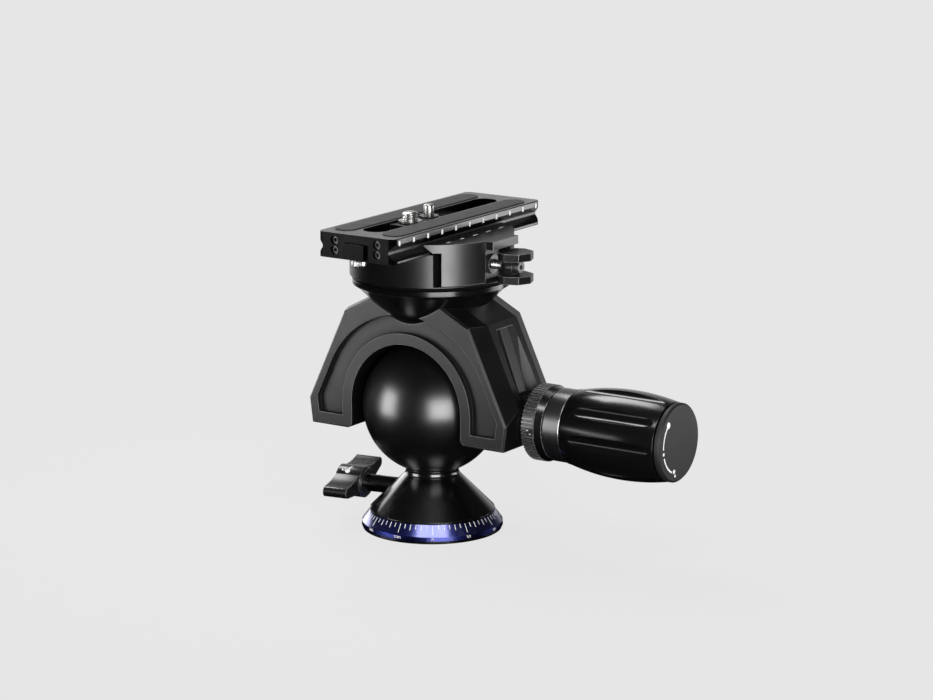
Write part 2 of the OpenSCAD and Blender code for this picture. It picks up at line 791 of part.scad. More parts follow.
module crown_pad() {
  color(pom) translate([0, 0, ball_z]) difference() {
    translate([0, 0, ball_r - pad_t]) cylinder(r = pad_r, h = 2 * pad_t + film);
    sphere(r = ball_r + film, $fn = 96);
  }
}

module crown_bowl() {
  color(black) difference() {
    translate([0, 0, bowl_z]) rotate_extrude() bowl_profile();
    ring_of(m3_n, bowl_screw_pcr) translate([0, 0, bowl_z - over]) {
      cylinder(r = m3_r + fit, h = bowl_h);
      translate([0, 0, bowl_floor + over]) cylinder(r = m3_head_r + fit, h = bowl_h);
    }
    ring_of(m3_n, clamp_screw_pcr, 180 / m3_n) translate([0, 0, drum_z - clamp_tap])
      cylinder(r = m3_r + fit, h = clamp_tap + over);
  }
}

module bowl_screws() {
  color(steel) ring_of(m3_n, bowl_screw_pcr) translate([0, 0, bowl_z]) {
    translate([0, 0, -bowl_bite]) cylinder(r = m3_r, h = bowl_bite + bowl_floor + tap_spare);
    translate([0, 0, bowl_floor]) socket_head();
  }
}

module handle_bush() {
  color(steel) on_handle(bush_x) tube(bush_r, spindle_r + fit, bush_end_x - bush_x);
}

module thrust_plug() {
  color(brass) on_handle(shoe_back + film) cylinder(r = plug_r, h = plug_end_x - shoe_back - film);
}

module friction_ring() {
  color(black) difference() {
    union() {
      on_handle(ring_x) linear_extrude(knurl_l) polygon(knurl(knurl_n, ring_r, knurl_d));
      on_handle(ring_x + knurl_l)
        cylinder(r1 = ring_r - ring_shoulder, r2 = collar_r - collar_end_edge, h = ring_l - knurl_l);
    }
    on_handle(0) cylinder(r = bush_r + 2 * fit, h = bush_end_x + 4 * fit);
    on_handle(0) cylinder(r = spindle_r + gap, h = grip_x);
    on_handle(ring_x + window_x) rotate([0, 0, window_turn]) translate([ring_r, 0, 0])
      cube([2 * window_d, window_w, window_w], center = true);
  }
}

module handle_spindle() {
  color(steel) difference() {
    on_handle(spindle_tip_x) cylinder(r = spindle_r, h = spindle_end_x - spindle_tip_x);
    on_handle(spindle_end_x - handle_screw_l) cylinder(r = handle_screw_r + fit, h = handle_screw_l + over);
  }
}

module handle_collar() {
  color(black) on_handle(collar_x) {
    rotate_extrude() polygon([[spindle_r + fit, 0], [collar_r - collar_edge, 0], [collar_r, collar_edge],
      [collar_r, collar_l - collar_end_edge], [collar_r - collar_end_edge, collar_l],
      [spindle_r + fit, collar_l]]);
  }
}

module handle_core() {
  color(dark) on_handle(grip_x) tube(core_r, spindle_r + fit, core_l);
}

module handle_grip() {
  color(black) on_handle(grip_x) rotate([0, 0, flute_turn]) difference() {
    rotate_extrude() difference() {
      intersection() {
        translate([grip_r - barrel_arc_r, barrel_mid]) circle(r = barrel_arc_r, $fn = 360);
        square([2 * grip_r, grip_l]);
      }
      square([core_r + fit, 2 * grip_l]);
    }
    ring_of(flute_n, grip_r - flute_d + flute_r, flute_start) translate([0, 0, -over])
      cylinder(r = flute_r, h = grip_l + 2 * over);
  }
}

module handle_screw() {
  color(steel) difference() {
    union() {
      on_handle(spindle_end_x - handle_screw_l + over) cylinder(r = handle_screw_r, h = handle_screw_l);
      on_handle(spindle_end_x) cylinder(r = handle_head_r, h = handle_head_h);
    }
    on_handle(spindle_end_x + handle_head_h - handle_hex_d)
      cylinder(r = handle_hex_r, h = handle_hex_d + over, $fn = 6);
  }
}

module handle_end_cap() {
  color(dark) union() {
    on_handle(cap_x) rotate_extrude() polygon([[0, 0], [cap_r - cap_back_edge, 0], [cap_r, cap_back_edge],
      [cap_r, cap_t - cap_edge], [cap_r - cap_edge, cap_t], [0, cap_t]]);
    on_handle(grip_end_x) cylinder(r = cap_r - cap_neck_in, h = cap_x - grip_end_x + cap_edge);
    on_handle(grip_end_x - cap_spigot) cylinder(r = core_r - fit, h = cap_x - grip_end_x + cap_edge);
  }
}

// Jaw section for the +X side: upright back, lip over the dovetail and a nose in the plate's side groove
module jaw_section(back_x, low_z) {
  far = 2 * drum_r;
  nose_z = plate_z + slope_sum - nose_x;
  polygon([[back_x, low_z], [far, low_z], [far, jaw_top], [nose_x + nose_edge, jaw_top],
    [nose_x, jaw_top - nose_edge], [nose_x, nose_z], [slope_sum - lip_h, plate_z + lip_h],
    [back_x, plate_z + lip_h]]);
}

module clamp_body() {
  color(black) difference() {
    union() {
      translate([0, 0, drum_z]) rotate_extrude()
        polygon([[0, 0], [drum_r - drum_edge, 0], [drum_r, drum_edge], [drum_r, drum_h], [0, drum_h]]);
      intersection() {
        cylinder(r = drum_r, h = 2 * jaw_top);
        mirror([1, 0, 0]) upright(2 * drum_r) jaw_section(slope_sum - lip_h, floor_z - over);
      }
    }
    translate([split_x, -drum_r, drum_z + flange_h]) cube([drum_r, 2 * drum_r, drum_h]);
    on_clamp(split_x - clamp_screw_bite - over) cylinder(r = screw_r + fit, h = clamp_screw_bite + 2 * over);
    for (s = [-1, 1]) translate([split_x - guide_bite - guide_play, s * pin_gauge, clamp_axis_z])
      rotate([0, 90, 0]) cylinder(r = guide_r + fit, h = guide_bite + guide_play + over);
    ring_of(m3_n, clamp_screw_pcr, 180 / m3_n) translate([0, 0, drum_z - over]) {
      cylinder(r = m3_r + fit, h = clamp_floor + 2 * over);
      translate([0, 0, clamp_floor + over]) cylinder(r = m3_head_r + gap, h = drum_h + over);
    }
  }
}

module clamp_screws() {
  color(steel) ring_of(m3_n, clamp_screw_pcr, 180 / m3_n) translate([0, 0, drum_z]) {
    translate([0, 0, -clamp_bite]) cylinder(r = m3_r, h = clamp_bite + clamp_floor + tap_spare);
    translate([0, 0, clamp_floor]) socket_head();
  }
}

module guide_pins() {
  color(steel) for (s = [-1, 1]) translate([split_x - guide_bite, s * pin_gauge, clamp_axis_z])
    rotate([0, 90, 0]) cylinder(r = guide_r, h = guide_l);
}

module moving_jaw() {
  lug_z = plate_z + lip_h;
  color(black) difference() {
    intersection() {
      upright(2 * drum_r + 2 * over) jaw_section(jaw_x, jaw_z);
      union() {
        cylinder(r = drum_r, h = 2 * jaw_top);
        translate([0, -lug_hw, lug_z]) cube([lug_x, 2 * lug_hw, 2 * jaw_h]);
      }
    }
    difference() {
      translate([jaw_recess_x, -lug_hw, jaw_z - over]) cube([drum_r, 2 * lug_hw, lug_z - jaw_z + over]);
      on_clamp(jaw_recess_x - over) cylinder(r = jaw_boss_r, h = jaw_boss_h + over);
    }
    on_clamp(0) cylinder(r = screw_r + screw_run, h = 2 * drum_r);
    for (s = [-1, 1]) translate([jaw_x - over, s * pin_gauge, clamp_axis_z]) rotate([0, 90, 0])
      cylinder(r = guide_r + screw_run, h = guide_reach + guide_play + over);
  }
}

module clamp_screw() {
  tip_x = split_x - clamp_screw_bite;
  end_x = knob_x + knob_hub_l - knob_skin;
  color(steel) difference() {
    on_clamp(tip_x) cylinder(r = screw_r, h = end_x - tip_x);
    on_clamp(knob_x - cap_bite - tap_spare)
      cylinder(r = cap_thread_r + fit, h = end_x - knob_x + cap_bite + 2 * over);
  }
}

module screw_clip() {
  color(steel) on_clamp(jaw_x - gap - clip_t) tube(clip_r, screw_r + fit, clip_t);
}

// Octagons above and below a round hub, cut flat towards the jaw
module clamp_knob() {
  color(black) difference() {
    union() {
      for (z = [-knob_h / 2, knob_h / 2 - knob_wing_t]) translate([knob_x, 0, clamp_axis_z + z])
        linear_extrude(knob_wing_t) intersection() {
          translate([knob_mid, 0]) circle(r = knob_r, $fn = 8);
          translate([0, -knob_r]) square(2 * knob_r);
        }
      on_clamp(knob_x) cylinder(r = knob_hub_r, h = knob_hub_l);
      translate([knob_x, -knob_web_hw, clamp_axis_z - knob_h / 2 + over])
        cube([knob_hub_l, 2 * knob_web_hw, knob_h - 2 * over]);
    }
    on_clamp(knob_x - over) cylinder(r = screw_r + fit, h = knob_hub_l - knob_skin + over);
    on_clamp(knob_x) cylinder(r = cap_thread_r + fit, h = 2 * knob_r);
  }
}

module knob_cap_screw() {
  color(steel) on_clamp(knob_x) difference() {
    union() {
      translate([0, 0, -cap_bite]) cylinder(r = cap_thread_r, h = cap_bite + knob_hub_l + cap_head_h / 2);
      translate([0, 0, knob_hub_l]) cylinder(r = cap_head_r, h = cap_head_h);
    }
    translate([0, 0, knob_hub_l + cap_head_h - cap_hex_d])
      cylinder(r = cap_hex_r, h = cap_hex_d + over, $fn = 6);
  }
}

// Plate section about its bottom: dovetail, side grooves and upright scale edge
module plate_section() {
  half = [[plate_hw - dove_edge, 0], [plate_hw, dove_edge], [plate_hw, flange_edge],
    [neck_hw, flange_edge + neck_in], [neck_hw, flange_edge + neck_in + neck_h],
    [plate_hw, flange_edge + 2 * neck_in + neck_h], [plate_hw, plate_h - rim_edge],
    [plate_hw - rim_edge, plate_h]];
  polygon(concat(half, [for (i = [len(half) - 1:-1:0]) [-half[i][0], half[i][1]]]));
}

module end_screw_places() {
  for (s = [-1, 1], x = [-1, 1], z = end_screw_zs)
    translate([x * end_screw_x, s * plate_l / 2, plate_z + z]) rotate([90 * s, 0, 0]) children();
}

module quick_plate() {
  color(black) difference() {
    translate([0, 0, plate_z]) upright(bar_l) plate_section();
    translate([0, 0, plate_z - over]) linear_extrude(plate_h + 2 * over) stadium(slot_hw, slot_hl);
    translate([0, 0, plate_z - over]) linear_extrude(channel_h + over)
      stadium(channel_hw, slot_hl + channel_out);
    for (s = [-1, 1]) translate([s * strip_x, 0, plate_top - strip_d]) linear_extrude(2 * strip_d)
      stadium(strip_hw + fit, strip_hl + fit);
    end_screw_places() cylinder(r = end_screw_r + fit, h = end_t + end_screw_bite);
  }
}

module strip(side) {
  color(rubber) translate([side * strip_x, 0, plate_top - strip_d]) linear_extrude(strip_d + strip_rise)
    stadium(strip_hw, strip_hl);
}
module left_strip() { strip(-1); }
module right_strip() { strip(1); }

// End block with round upright corners, a tab below its middle and recesses for its screws
module end_block(side) {
  color(dark) difference() {
    union() {
      intersection() {
        translate([0, side * (plate_l - end_t) / 2, plate_z]) upright(end_t) plate_section();
        linear_extrude(2 * plate_top) translate([0, side * (plate_l / 2 - end_t - end_round)]) {
          square([2 * (plate_hw - end_round), 2 * (end_t + end_round)], center = true);
          square([2 * plate_hw, 2 * end_t], center = true);
          for (x = [-1, 1]) translate([x * (plate_hw - end_round), side * end_t]) circle(r = end_round);
        }
      }
      translate([-tab_hw, side * plate_l / 2 - (side > 0 ? over : tab_out), plate_z + tab_low])
        cube([2 * tab_hw, tab_out + over, tab_h]);
    }
    end_screw_places() {
      translate([0, 0, -end_t])
        cylinder(r = end_screw_head_r + fit, h = end_t + end_screw_sunk + end_screw_head_h);
      cylinder(r = end_screw_r + fit, h = end_t + end_screw_bite);
    }
    translate([0, side * stop_y, plate_z - over]) cylinder(r = stop_r + fit, h = stop_bite + 2 * over);
  }
}
module front_end_block() { end_block(-1); }
module rear_end_block() { end_block(1); }

module end_block_screws() {
  color(steel) end_screw_places() difference() {
    union() {
      translate([0, 0, end_screw_sunk]) cylinder(r = end_screw_head_r, h = end_screw_head_h);
      translate([0, 0, end_screw_sunk])
        cylinder(r = end_screw_r, h = end_t + end_screw_bite - end_screw_sunk - gap);
    }
    cylinder(r = end_hex_r, h = end_screw_sunk + end_hex_d, $fn = 6);
  }
}

module stop_screws() {
  color(steel) for (s = [-1, 1]) translate([0, s * stop_y, plate_z]) {
    cylinder(r = stop_r, h = stop_bite);
    translate([0, 0, -stop_head_h]) cylinder(r = stop_head_r, h = stop_head_h);
  }
}

// T-shaped block of length l that runs in the channel and the slot at place y
module slot_block(y, l) {
  for (row = [[channel_hw, channel_h - 2 * gap], [slot_hw, plate_h - 4 * gap]])
    translate([-row[0] + gap, y - l / 2, plate_z + gap]) cube([2 * (row[0] - gap), l, row[1]]);
}

module screw_slider() {
  color(dark) difference() {
    slot_block(camera_y, slider_l);
    translate([0, camera_y, 0]) {
      cylinder(r = camera_r + 2 * fit, h = plate_top);
      cylinder(r = camera_head_r + gap, h = plate_z + camera_head_h + 2 * gap + pin_play);
    }
  }
}

// Headed screw with a hexagon from below and a neck under its free thread
module camera_screw() {
  color(steel) translate([0, camera_y, 0]) difference() {
    union() {
      translate([0, 0, plate_z + 2 * gap]) cylinder(r = camera_head_r, h = camera_head_h);
      translate([0, 0, plate_z + 2 * gap]) cylinder(r = camera_r - neck_d, h = plate_h + camera_h - 2 * gap);
      translate([0, 0, neck_top]) cylinder(r = camera_r, h = plate_top + camera_h - neck_top);
    }
    translate([0, 0, plate_z - over]) cylinder(r = camera_hex_r, h = camera_hex_d + 2 * gap + over, $fn = 6);
  }
}

module camera_screw_flange() {
  color(steel) translate([0, camera_y, flange_top - flange_t])
    tube(camera_flange_r, camera_r - neck_d + fit, flange_t);
}

module pin_slider() {
  color(dark) difference() {
    union() {
      slot_block(pin_y, pin_slider_l);
      translate([0, pin_y, flange_top - flange_t - gap]) cylinder(r = pin_disc_r, h = flange_t + gap);
    }
    translate([0, pin_y, 0]) {
      cylinder(r = pin_r + fit, h = 2 * plate_top);
      cylinder(r = pin_collar_r + fit, h = plate_z + pin_travel + 2 * pin_collar_h + pin_play);
    }
  }
}

// Collared pin with a neck under its free end
module anti_twist_pin() {
  collar_z = plate_z + pin_travel + pin_collar_h;
  color(steel) translate([0, pin_y, 0]) {
    translate([0, 0, collar_z]) cylinder(r = pin_collar_r, h = pin_collar_h);
    translate([0, 0, collar_z]) cylinder(r = pin_r - neck_d, h = plate_top + pin_h - collar_z);
    translate([0, 0, neck_top]) cylinder(r = pin_r, h = plate_top + pin_h - neck_top);
  }
}

base_plate();
tripod_insert();
scale_ring();
base_screws();
pan_glide_ring();
pan_cone();
ball();
pan_bolt();
pan_thrust_washer();
pan_brake_pad();
pan_lock_stud();
pan_lock_knob();
pan_knob_screw();
fixed_shoe();
pressure_shoe();
yoke();
crown_pad();
crown_bowl();
bowl_screws();
handle_bush();
thrust_plug();
friction_ring();
handle_spindle();
handle_collar();
handle_core();
handle_grip();
handle_screw();
handle_end_cap();
clamp_body();
clamp_screws();
guide_pins();
moving_jaw();
clamp_screw();
screw_clip();
clamp_knob();
knob_cap_screw();
quick_plate();
left_strip();
right_strip();
front_end_block();
rear_end_block();
end_block_screws();
stop_screws();
screw_slider();
camera_screw();
camera_screw_flange();
pin_slider();
anti_twist_pin();
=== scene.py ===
"""Looks of a tripod ball head: finishes of every solid, threads, scales and printed marks, light and camera.

All places are in the frame of the solids. Sizes below are in millimetres, and the meshes are in metres.
"""

import json
import math

import bmesh
import bpy
import numpy as np
from mathutils import Matrix, Vector


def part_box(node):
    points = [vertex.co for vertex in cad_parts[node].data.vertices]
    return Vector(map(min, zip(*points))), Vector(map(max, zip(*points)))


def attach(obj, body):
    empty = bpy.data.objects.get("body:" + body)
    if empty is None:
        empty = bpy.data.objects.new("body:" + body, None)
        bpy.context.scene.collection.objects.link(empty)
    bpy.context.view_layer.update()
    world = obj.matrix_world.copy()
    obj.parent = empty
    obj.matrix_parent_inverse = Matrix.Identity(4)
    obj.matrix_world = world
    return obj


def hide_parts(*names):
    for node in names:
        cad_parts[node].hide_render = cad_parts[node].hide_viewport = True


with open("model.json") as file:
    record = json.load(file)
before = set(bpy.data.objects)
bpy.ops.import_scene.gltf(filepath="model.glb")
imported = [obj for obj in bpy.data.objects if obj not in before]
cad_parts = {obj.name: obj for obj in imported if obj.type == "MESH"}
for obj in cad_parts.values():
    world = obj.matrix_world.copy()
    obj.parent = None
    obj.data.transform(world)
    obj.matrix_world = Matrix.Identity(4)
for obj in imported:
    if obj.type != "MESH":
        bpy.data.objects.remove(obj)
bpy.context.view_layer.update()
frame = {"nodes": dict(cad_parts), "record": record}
nodes = frame["nodes"]

MM = 0.001
TURN = 2 * math.pi
OUT = np.array([1.0, 0, 0])
UP = np.array([0, 0, 1.0])

# Camera at the photograph's viewing angle, worked out for a frame of 933 by 700
CAMERA_AZIMUTH = 33.529
CAMERA_ELEVATION = 12.758
CAMERA_PLACE = (747.96, -1102.60, 377.99)
CAMERA_LENS = 125.47
SENSOR = 36.0

# Height of the ball's centre and of the handle's axis
HANDLE_Z = 53.0

# Axis of the pan lock: its height and its turn from -X
LOCK_Z = 15.5
LOCK_AZIMUTH = math.radians(9)

# Marks stand this far over their surface, reach this far into it, and have this many points along a bar
PRINT_RISE = 0.03
PRINT_ROOT = 0.06
BAR_STEPS = 3


def corner(node, end):
    """Corner of a node's box in millimetres: end 0 is the lowest, 1 the highest."""
    return np.array(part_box(node)[end]) / MM


def linear(hex_colour):
    """Linear RGBA of an sRGB hex colour."""
    srgb = np.array([int(hex_colour[i:i + 2], 16) for i in (1, 3, 5)]) / 255
    rgb = np.where(srgb <= 0.04045, srgb / 12.92, ((srgb + 0.055) / 1.055) ** 2.4)
    return (*rgb.tolist(), 1.0)


# Materials
def add(tree, kind, inputs=None, **settings):
    """Adds a node, sets its properties, and fills its inputs with values or links."""
    node = tree.nodes.new(kind)
    for name, value in settings.items():
        setattr(node, name, value)
    for socket, value in (inputs or {}).items():
        if isinstance(value, bpy.types.NodeSocket):
            tree.links.new(value, node.inputs[socket])
        else:
            node.inputs[socket].default_value = value
    return node


def begin(name, **constants):
    """A new material with its shader's constants set: (material, node tree, shader, object coordinates)."""
    material = bpy.data.materials.new(name)
    material.use_nodes = True
    tree = material.node_tree
    shader = tree.nodes["Principled BSDF"]
    for socket, value in constants.items():
        shader.inputs[socket.replace("_", " ")].default_value = value
    place = add(tree, "ShaderNodeTexCoord").outputs["Object"]
    return material, tree, shader, place


def per_mm(size):
    """Texture scale whose features are that many millimetres across."""
    return 1 / (size * MM)


# A noise stays between these two values nearly everywhere
NOISE_LOW, NOISE_HIGH = 0.3, 0.7


def around(tree, place, size, middle, swing):
    """Value that drifts about its middle in soft patches of that size."""
    patch = add(tree, "ShaderNodeTexNoise", {"Vector": place, "Scale": per_mm(size), "Detail": 3.0})
    drift = add(tree, "ShaderNodeMapRange", {
        "Value": patch.outputs["Fac"], "From Min": NOISE_LOW, "From Max": NOISE_HIGH,
        "To Min": middle - swing, "To Max": middle + swing})
    return drift.outputs["Result"]


# Painted edge highlights begin and end at these cosines between the rounded and the flat normal, and where
# this share of the surroundings within reach is open; recesses turn rough between these shares
HIGHLIGHT_COSINES = (0.97, 0.88)
HIGHLIGHT_OPEN = (0.8, 0.98)
RECESS_OPEN = (0.45, 0.8)
RECESS_ROUGH = 0.9
OPEN_REACH = 4.0


def finish_surface(tree, shader, height, depth, edge, roughness, painted_edge_highlight=None):
    """Bump of that depth in millimetres over edges rounded to a radius, and a roughness that drifts.

    Outer edges can show a lighter colour, a painted highlight, where the rounded normal leaves the face's and
    nothing stands close over it, and then recesses stay rough, because handling doesn't reach them.
    """
    rounding = add(tree, "ShaderNodeBevel", {"Radius": edge * MM}, samples=6).outputs["Normal"]
    # Painted highlight: the base colour turns lighter along open outer edges, standing in for lamps caught on
    # a rounded edge
    if painted_edge_highlight:
        flat = add(tree, "ShaderNodeNewGeometry").outputs["Normal"]
        same = add(tree, "ShaderNodeVectorMath", {0: rounding, 1: flat}, operation="DOT_PRODUCT")
        bend = add(tree, "ShaderNodeMapRange", {
            "Value": same.outputs["Value"], "From Min": HIGHLIGHT_COSINES[0], "From Max": HIGHLIGHT_COSINES[1]})
        near = add(tree, "ShaderNodeAmbientOcclusion", {"Distance": OPEN_REACH * MM}, samples=4,
                   only_local=True)
        handled = add(tree, "ShaderNodeMapRange", {
            "Value": near.outputs["AO"], "From Min": RECESS_OPEN[0], "From Max": RECESS_OPEN[1],
            "To Min": RECESS_ROUGH, "To Max": roughness})
        roughness = handled.outputs["Result"]
        clear = add(tree, "ShaderNodeMapRange", {
            "Value": near.outputs["AO"], "From Min": HIGHLIGHT_OPEN[0], "From Max": HIGHLIGHT_OPEN[1]})
        wear_and_highlight = add(tree, "ShaderNodeMath", {0: bend.outputs["Result"], 1: clear.outputs["Result"]},
                   operation="MULTIPLY")
        shade = add(tree, "ShaderNodeMix", {
            "A": tuple(shader.inputs["Base Color"].default_value), "B": linear(painted_edge_highlight),
            "Factor": wear_and_highlight.outputs[0]}, data_type="RGBA")
        tree.links.new(shade.outputs["Result"], shader.inputs["Base Color"])
    bump = add(tree, "ShaderNodeBump", {
        "Height": height, "Distance": depth * MM, "Strength": 1.0, "Normal": rounding})
    tree.links.new(bump.outputs["Normal"], shader.inputs["Normal"])
    tree.links.new(roughness, shader.inputs["Roughness"])


def blasted_aluminium(name, colour, rough, depth=0.012, edge=0.3, ior=1.65, painted_edge_highlight="#a0a0a2"):
    """Aluminium, bead blasted and black anodised: an even grain that spreads highlights, drawn at 0.35 mm to
    show, and edges painted lighter as a highlight."""
    material, tree, shader, place = begin(name, Base_Color=linear(colour), IOR=ior)
    grain = add(tree, "ShaderNodeTexNoise", {"Vector": place, "Scale": per_mm(0.35), "Detail": 2.0})
    drift = around(tree, place, size=14, middle=rough, swing=0.03)
    finish_surface(tree, shader, grain.outputs["Fac"], depth, edge, drift, painted_edge_highlight)
    return material


# A wave texture runs through this many radians in one unit
WAVE_RADIANS = 20


def turned_aluminium(name, colour, rough, axis, pitch=0.45, edge=0.25, **constants):
    """Aluminium, lathe turned and anodised: faint rings about the axis, whose wave turns by a radian in each
    pitch. They are drawn that coarse to show."""
    material, tree, shader, place = begin(name, Base_Color=linear(colour), **constants)
    rings = add(tree, "ShaderNodeTexWave", {
        "Vector": place, "Scale": per_mm(pitch) / WAVE_RADIANS, "Distortion": 0.4, "Detail": 1.0},
        bands_direction=axis)
    drift = around(tree, place, size=9, middle=rough, swing=0.02)
    finish_surface(tree, shader, rings.outputs["Fac"], depth=0.0012, edge=edge, roughness=drift)
    return material


def moulded_plastic(name, colour, rough, ior=1.53):
    """Plastic, injection moulded: even, with the slight orange peel 3 mm across that a thick wall gets."""
    material, tree, shader, place = begin(name, Base_Color=linear(colour), IOR=ior)
    peel = add(tree, "ShaderNodeTexNoise", {"Vector": place, "Scale": per_mm(3), "Detail": 1.0})
    drift = around(tree, place, size=18, middle=rough, swing=0.025)
    finish_surface(tree, shader, peel.outputs["Fac"], depth=0.004, edge=0.35, roughness=drift)
    return material


def bright_steel(name, colour, rough, metallic=1.0):
    """Steel or brass, turned and tumbled: fine scuffs 0.6 mm across break up its reflections."""
    material, tree, shader, place = begin(name, Base_Color=linear(colour), Metallic=metallic)
    scuff = add(tree, "ShaderNodeTexNoise", {"Vector": place, "Scale": per_mm(0.6), "Detail": 4.0})
    drift = around(tree, place, size=0.9, middle=rough, swing=0.06)
    finish_surface(tree, shader, scuff.outputs["Fac"], depth=0.003, edge=0.15, roughness=drift)
    return material


def pebbled_rubber(name, colour):
    """Nitrile rubber, moulded: matte, with pebbles 0.7 mm across."""
    material, tree, shader, place = begin(name, Base_Color=linear(colour), IOR=1.52)
    pebble = add(tree, "ShaderNodeTexVoronoi", {"Vector": place, "Scale": per_mm(0.7)}, feature="SMOOTH_F1")
    drift = around(tree, place, size=6, middle=0.62, swing=0.06)
    finish_surface(tree, shader, pebble.outputs["Distance"], depth=0.04, edge=0.3, roughness=drift)
    return material


def filled_paint(name, colour, wear_and_highlight):
    """Enamel wiped into marks: opaque, a little thin in patches 0.8 mm across."""
    material, tree, shader, place = begin(name, Roughness=0.5)
    cover = around(tree, place, size=0.8, middle=0.85, swing=0.15)
    shade = add(tree, "ShaderNodeMix", {"A": linear(wear_and_highlight), "B": linear(colour), "Factor": cover},
                data_type="RGBA")
    tree.links.new(shade.outputs["Result"], shader.inputs["Base Color"])
    return material


# Index of refraction of a dyed and sealed anodic layer
ANODIC_IOR = 1.76

# The lighter edge colours below are painted highlights along outer edges, near white on the knurl's teeth
BLASTED = blasted_aluminium("black_anodised_aluminium_blasted", "#0b0b0c", 0.36, depth=0.016, edge=0.6,
                            ior=1.40, painted_edge_highlight="#707072")
JAW_BLACK = blasted_aluminium("black_anodised_aluminium_milled_satin", "#0d0d0e", 0.36, depth=0.006)
KNOB_BLACK = blasted_aluminium("black_anodised_aluminium_satin", "#0b0b0c", 0.29, depth=0.006)
PLATE_BLACK = blasted_aluminium("black_anodised_aluminium_fine_blasted", "#0b0b0c", 0.25, depth=0.004,
                                painted_edge_highlight="#6c6c6e")
KNURL_BLACK = blasted_aluminium("black_anodised_aluminium_knurled", "#050506", 0.24, depth=0.003, edge=0.16,
                                ior=1.8, painted_edge_highlight="#d8d8da")
DRUM = turned_aluminium("black_anodised_aluminium_turned_satin", "#0b0b0c", 0.36, "Z", IOR=1.55)
TURNED = turned_aluminium("black_anodised_aluminium_turned", "#060607", 0.18, "Z", IOR=ANODIC_IOR)
TURNED_X = turned_aluminium("black_anodised_aluminium_turned_along_handle", "#08080a", 0.31, "X", edge=0.1,
                            IOR=2.0)
BALL_BLACK = turned_aluminium("black_hard_anodised_aluminium_fine_turned", "#050506", 0.30, "Z", pitch=0.3,
                              IOR=ANODIC_IOR)
BLUE = turned_aluminium("blue_anodised_aluminium_turned", "#1a2680", 0.27, "Z", Metallic=1.0, Coat_Weight=1.0,
                        Coat_Roughness=0.2, Coat_IOR=ANODIC_IOR)
GRIP = moulded_plastic("black_polyamide_polished", "#0a0a0b", 0.19)
CAP = moulded_plastic("black_polyamide_eroded", "#161617", 0.55, ior=1.42)
STEEL = bright_steel("stainless_steel_turned", "#b4b4b2", 0.29)
DULL_STEEL = bright_steel("stainless_steel_blasted", "#6c6c6b", 0.48)
OXIDE = bright_steel("black_oxide_steel_turned", "#0d0d0e", 0.36, metallic=0.0)
BRASS = bright_steel("brass_turned", "#b9924c", 0.3)
RUBBER = pebbled_rubber("nitrile_rubber_moulded", "#1d1d1e")
ACETAL = moulded_plastic("natural_acetal_turned", "#d6d3cb", 0.4, ior=1.48)
PAINT = filled_paint("white_enamel_filled", "#e4e4e2", wear_and_highlight="#8d8d8d")

FINISHES = {
    BLASTED: ["yoke", "screw_slider"],
    KNOB_BLACK: ["pan_lock_knob", "clamp_knob"],
    PLATE_BLACK: ["quick_plate", "front_end_block", "rear_end_block", "pin_slider"],
    JAW_BLACK: ["moving_jaw"],
    TURNED: ["base_plate", "pan_cone", "crown_bowl", "pan_lock_stud"],
    DRUM: ["clamp_body"],
    TURNED_X: ["handle_collar", "handle_core"],
    KNURL_BLACK: ["friction_ring"],
    BALL_BLACK: ["ball"],
    BLUE: ["scale_ring"],
    GRIP: ["handle_grip"],
    CAP: ["handle_end_cap"],
    STEEL: ["tripod_insert", "base_screws", "pan_bolt", "pan_knob_screw", "bowl_screws", "handle_bush",
            "handle_spindle", "handle_screw", "clamp_screws", "guide_pins", "clamp_screw", "screw_clip",
            "stop_screws", "camera_screw", "camera_screw_flange", "anti_twist_pin"],
    DULL_STEEL: ["knob_cap_screw"],
    OXIDE: ["end_block_screws"],
    BRASS: ["pan_thrust_washer", "pan_brake_pad", "thrust_plug"],
    RUBBER: ["left_strip", "right_strip"],
    ACETAL: ["pan_glide_ring", "fixed_shoe", "pressure_shoe", "crown_pad"],
}
for material, names in FINISHES.items():
    for name in names:
        nodes[name].data.materials.clear()
        nodes[name].data.materials.append(material)

# Points closer than this, in metres, are one
MERGE = 1e-7

# Edges that bend by more degrees than this stay sharp, on most pieces and on threads
SHARP = 35
SHARP_THREAD = 28


# Ways of making a piece
def piece_from(name, points, faces, material, sharp=SHARP):
    """Object from points in millimetres and faces: doubles merged, faces turned outwards, sharp where it
    bends."""
    mesh = bpy.data.meshes.new(name)
    mesh.from_pydata((np.asarray(points) * MM).tolist(), [], [list(face) for face in faces])
    work = bmesh.new()
    work.from_mesh(mesh)
    bmesh.ops.remove_doubles(work, verts=work.verts, dist=MERGE)
    bmesh.ops.dissolve_degenerate(work, edges=work.edges, dist=MERGE)
    bmesh.ops.recalc_face_normals(work, faces=work.faces)
    work.to_mesh(mesh)
    work.free()
    mesh.shade_smooth()
    mesh.set_sharp_from_angle(angle=math.radians(sharp))
    mesh.materials.append(material)
    obj = bpy.data.objects.new(name, mesh)
    bpy.context.scene.collection.objects.link(obj)
    return obj


def grid_faces(nu, nv, wrap_u=False, wrap_v=False):
    """Quads of a grid whose point (u, v) has the index u * nv + v; a wrapped direction joins its ends."""
    steps_u, steps_v = (nu if wrap_u else nu - 1), (nv if wrap_v else nv - 1)
    u, v = np.meshgrid(np.arange(steps_u), np.arange(steps_v), indexing="ij")
    u1, v1 = (u + 1) % nu, (v + 1) % nv
    return np.stack([u * nv + v, u1 * nv + v, u1 * nv + v1, u * nv + v1], -1).reshape(-1, 4)


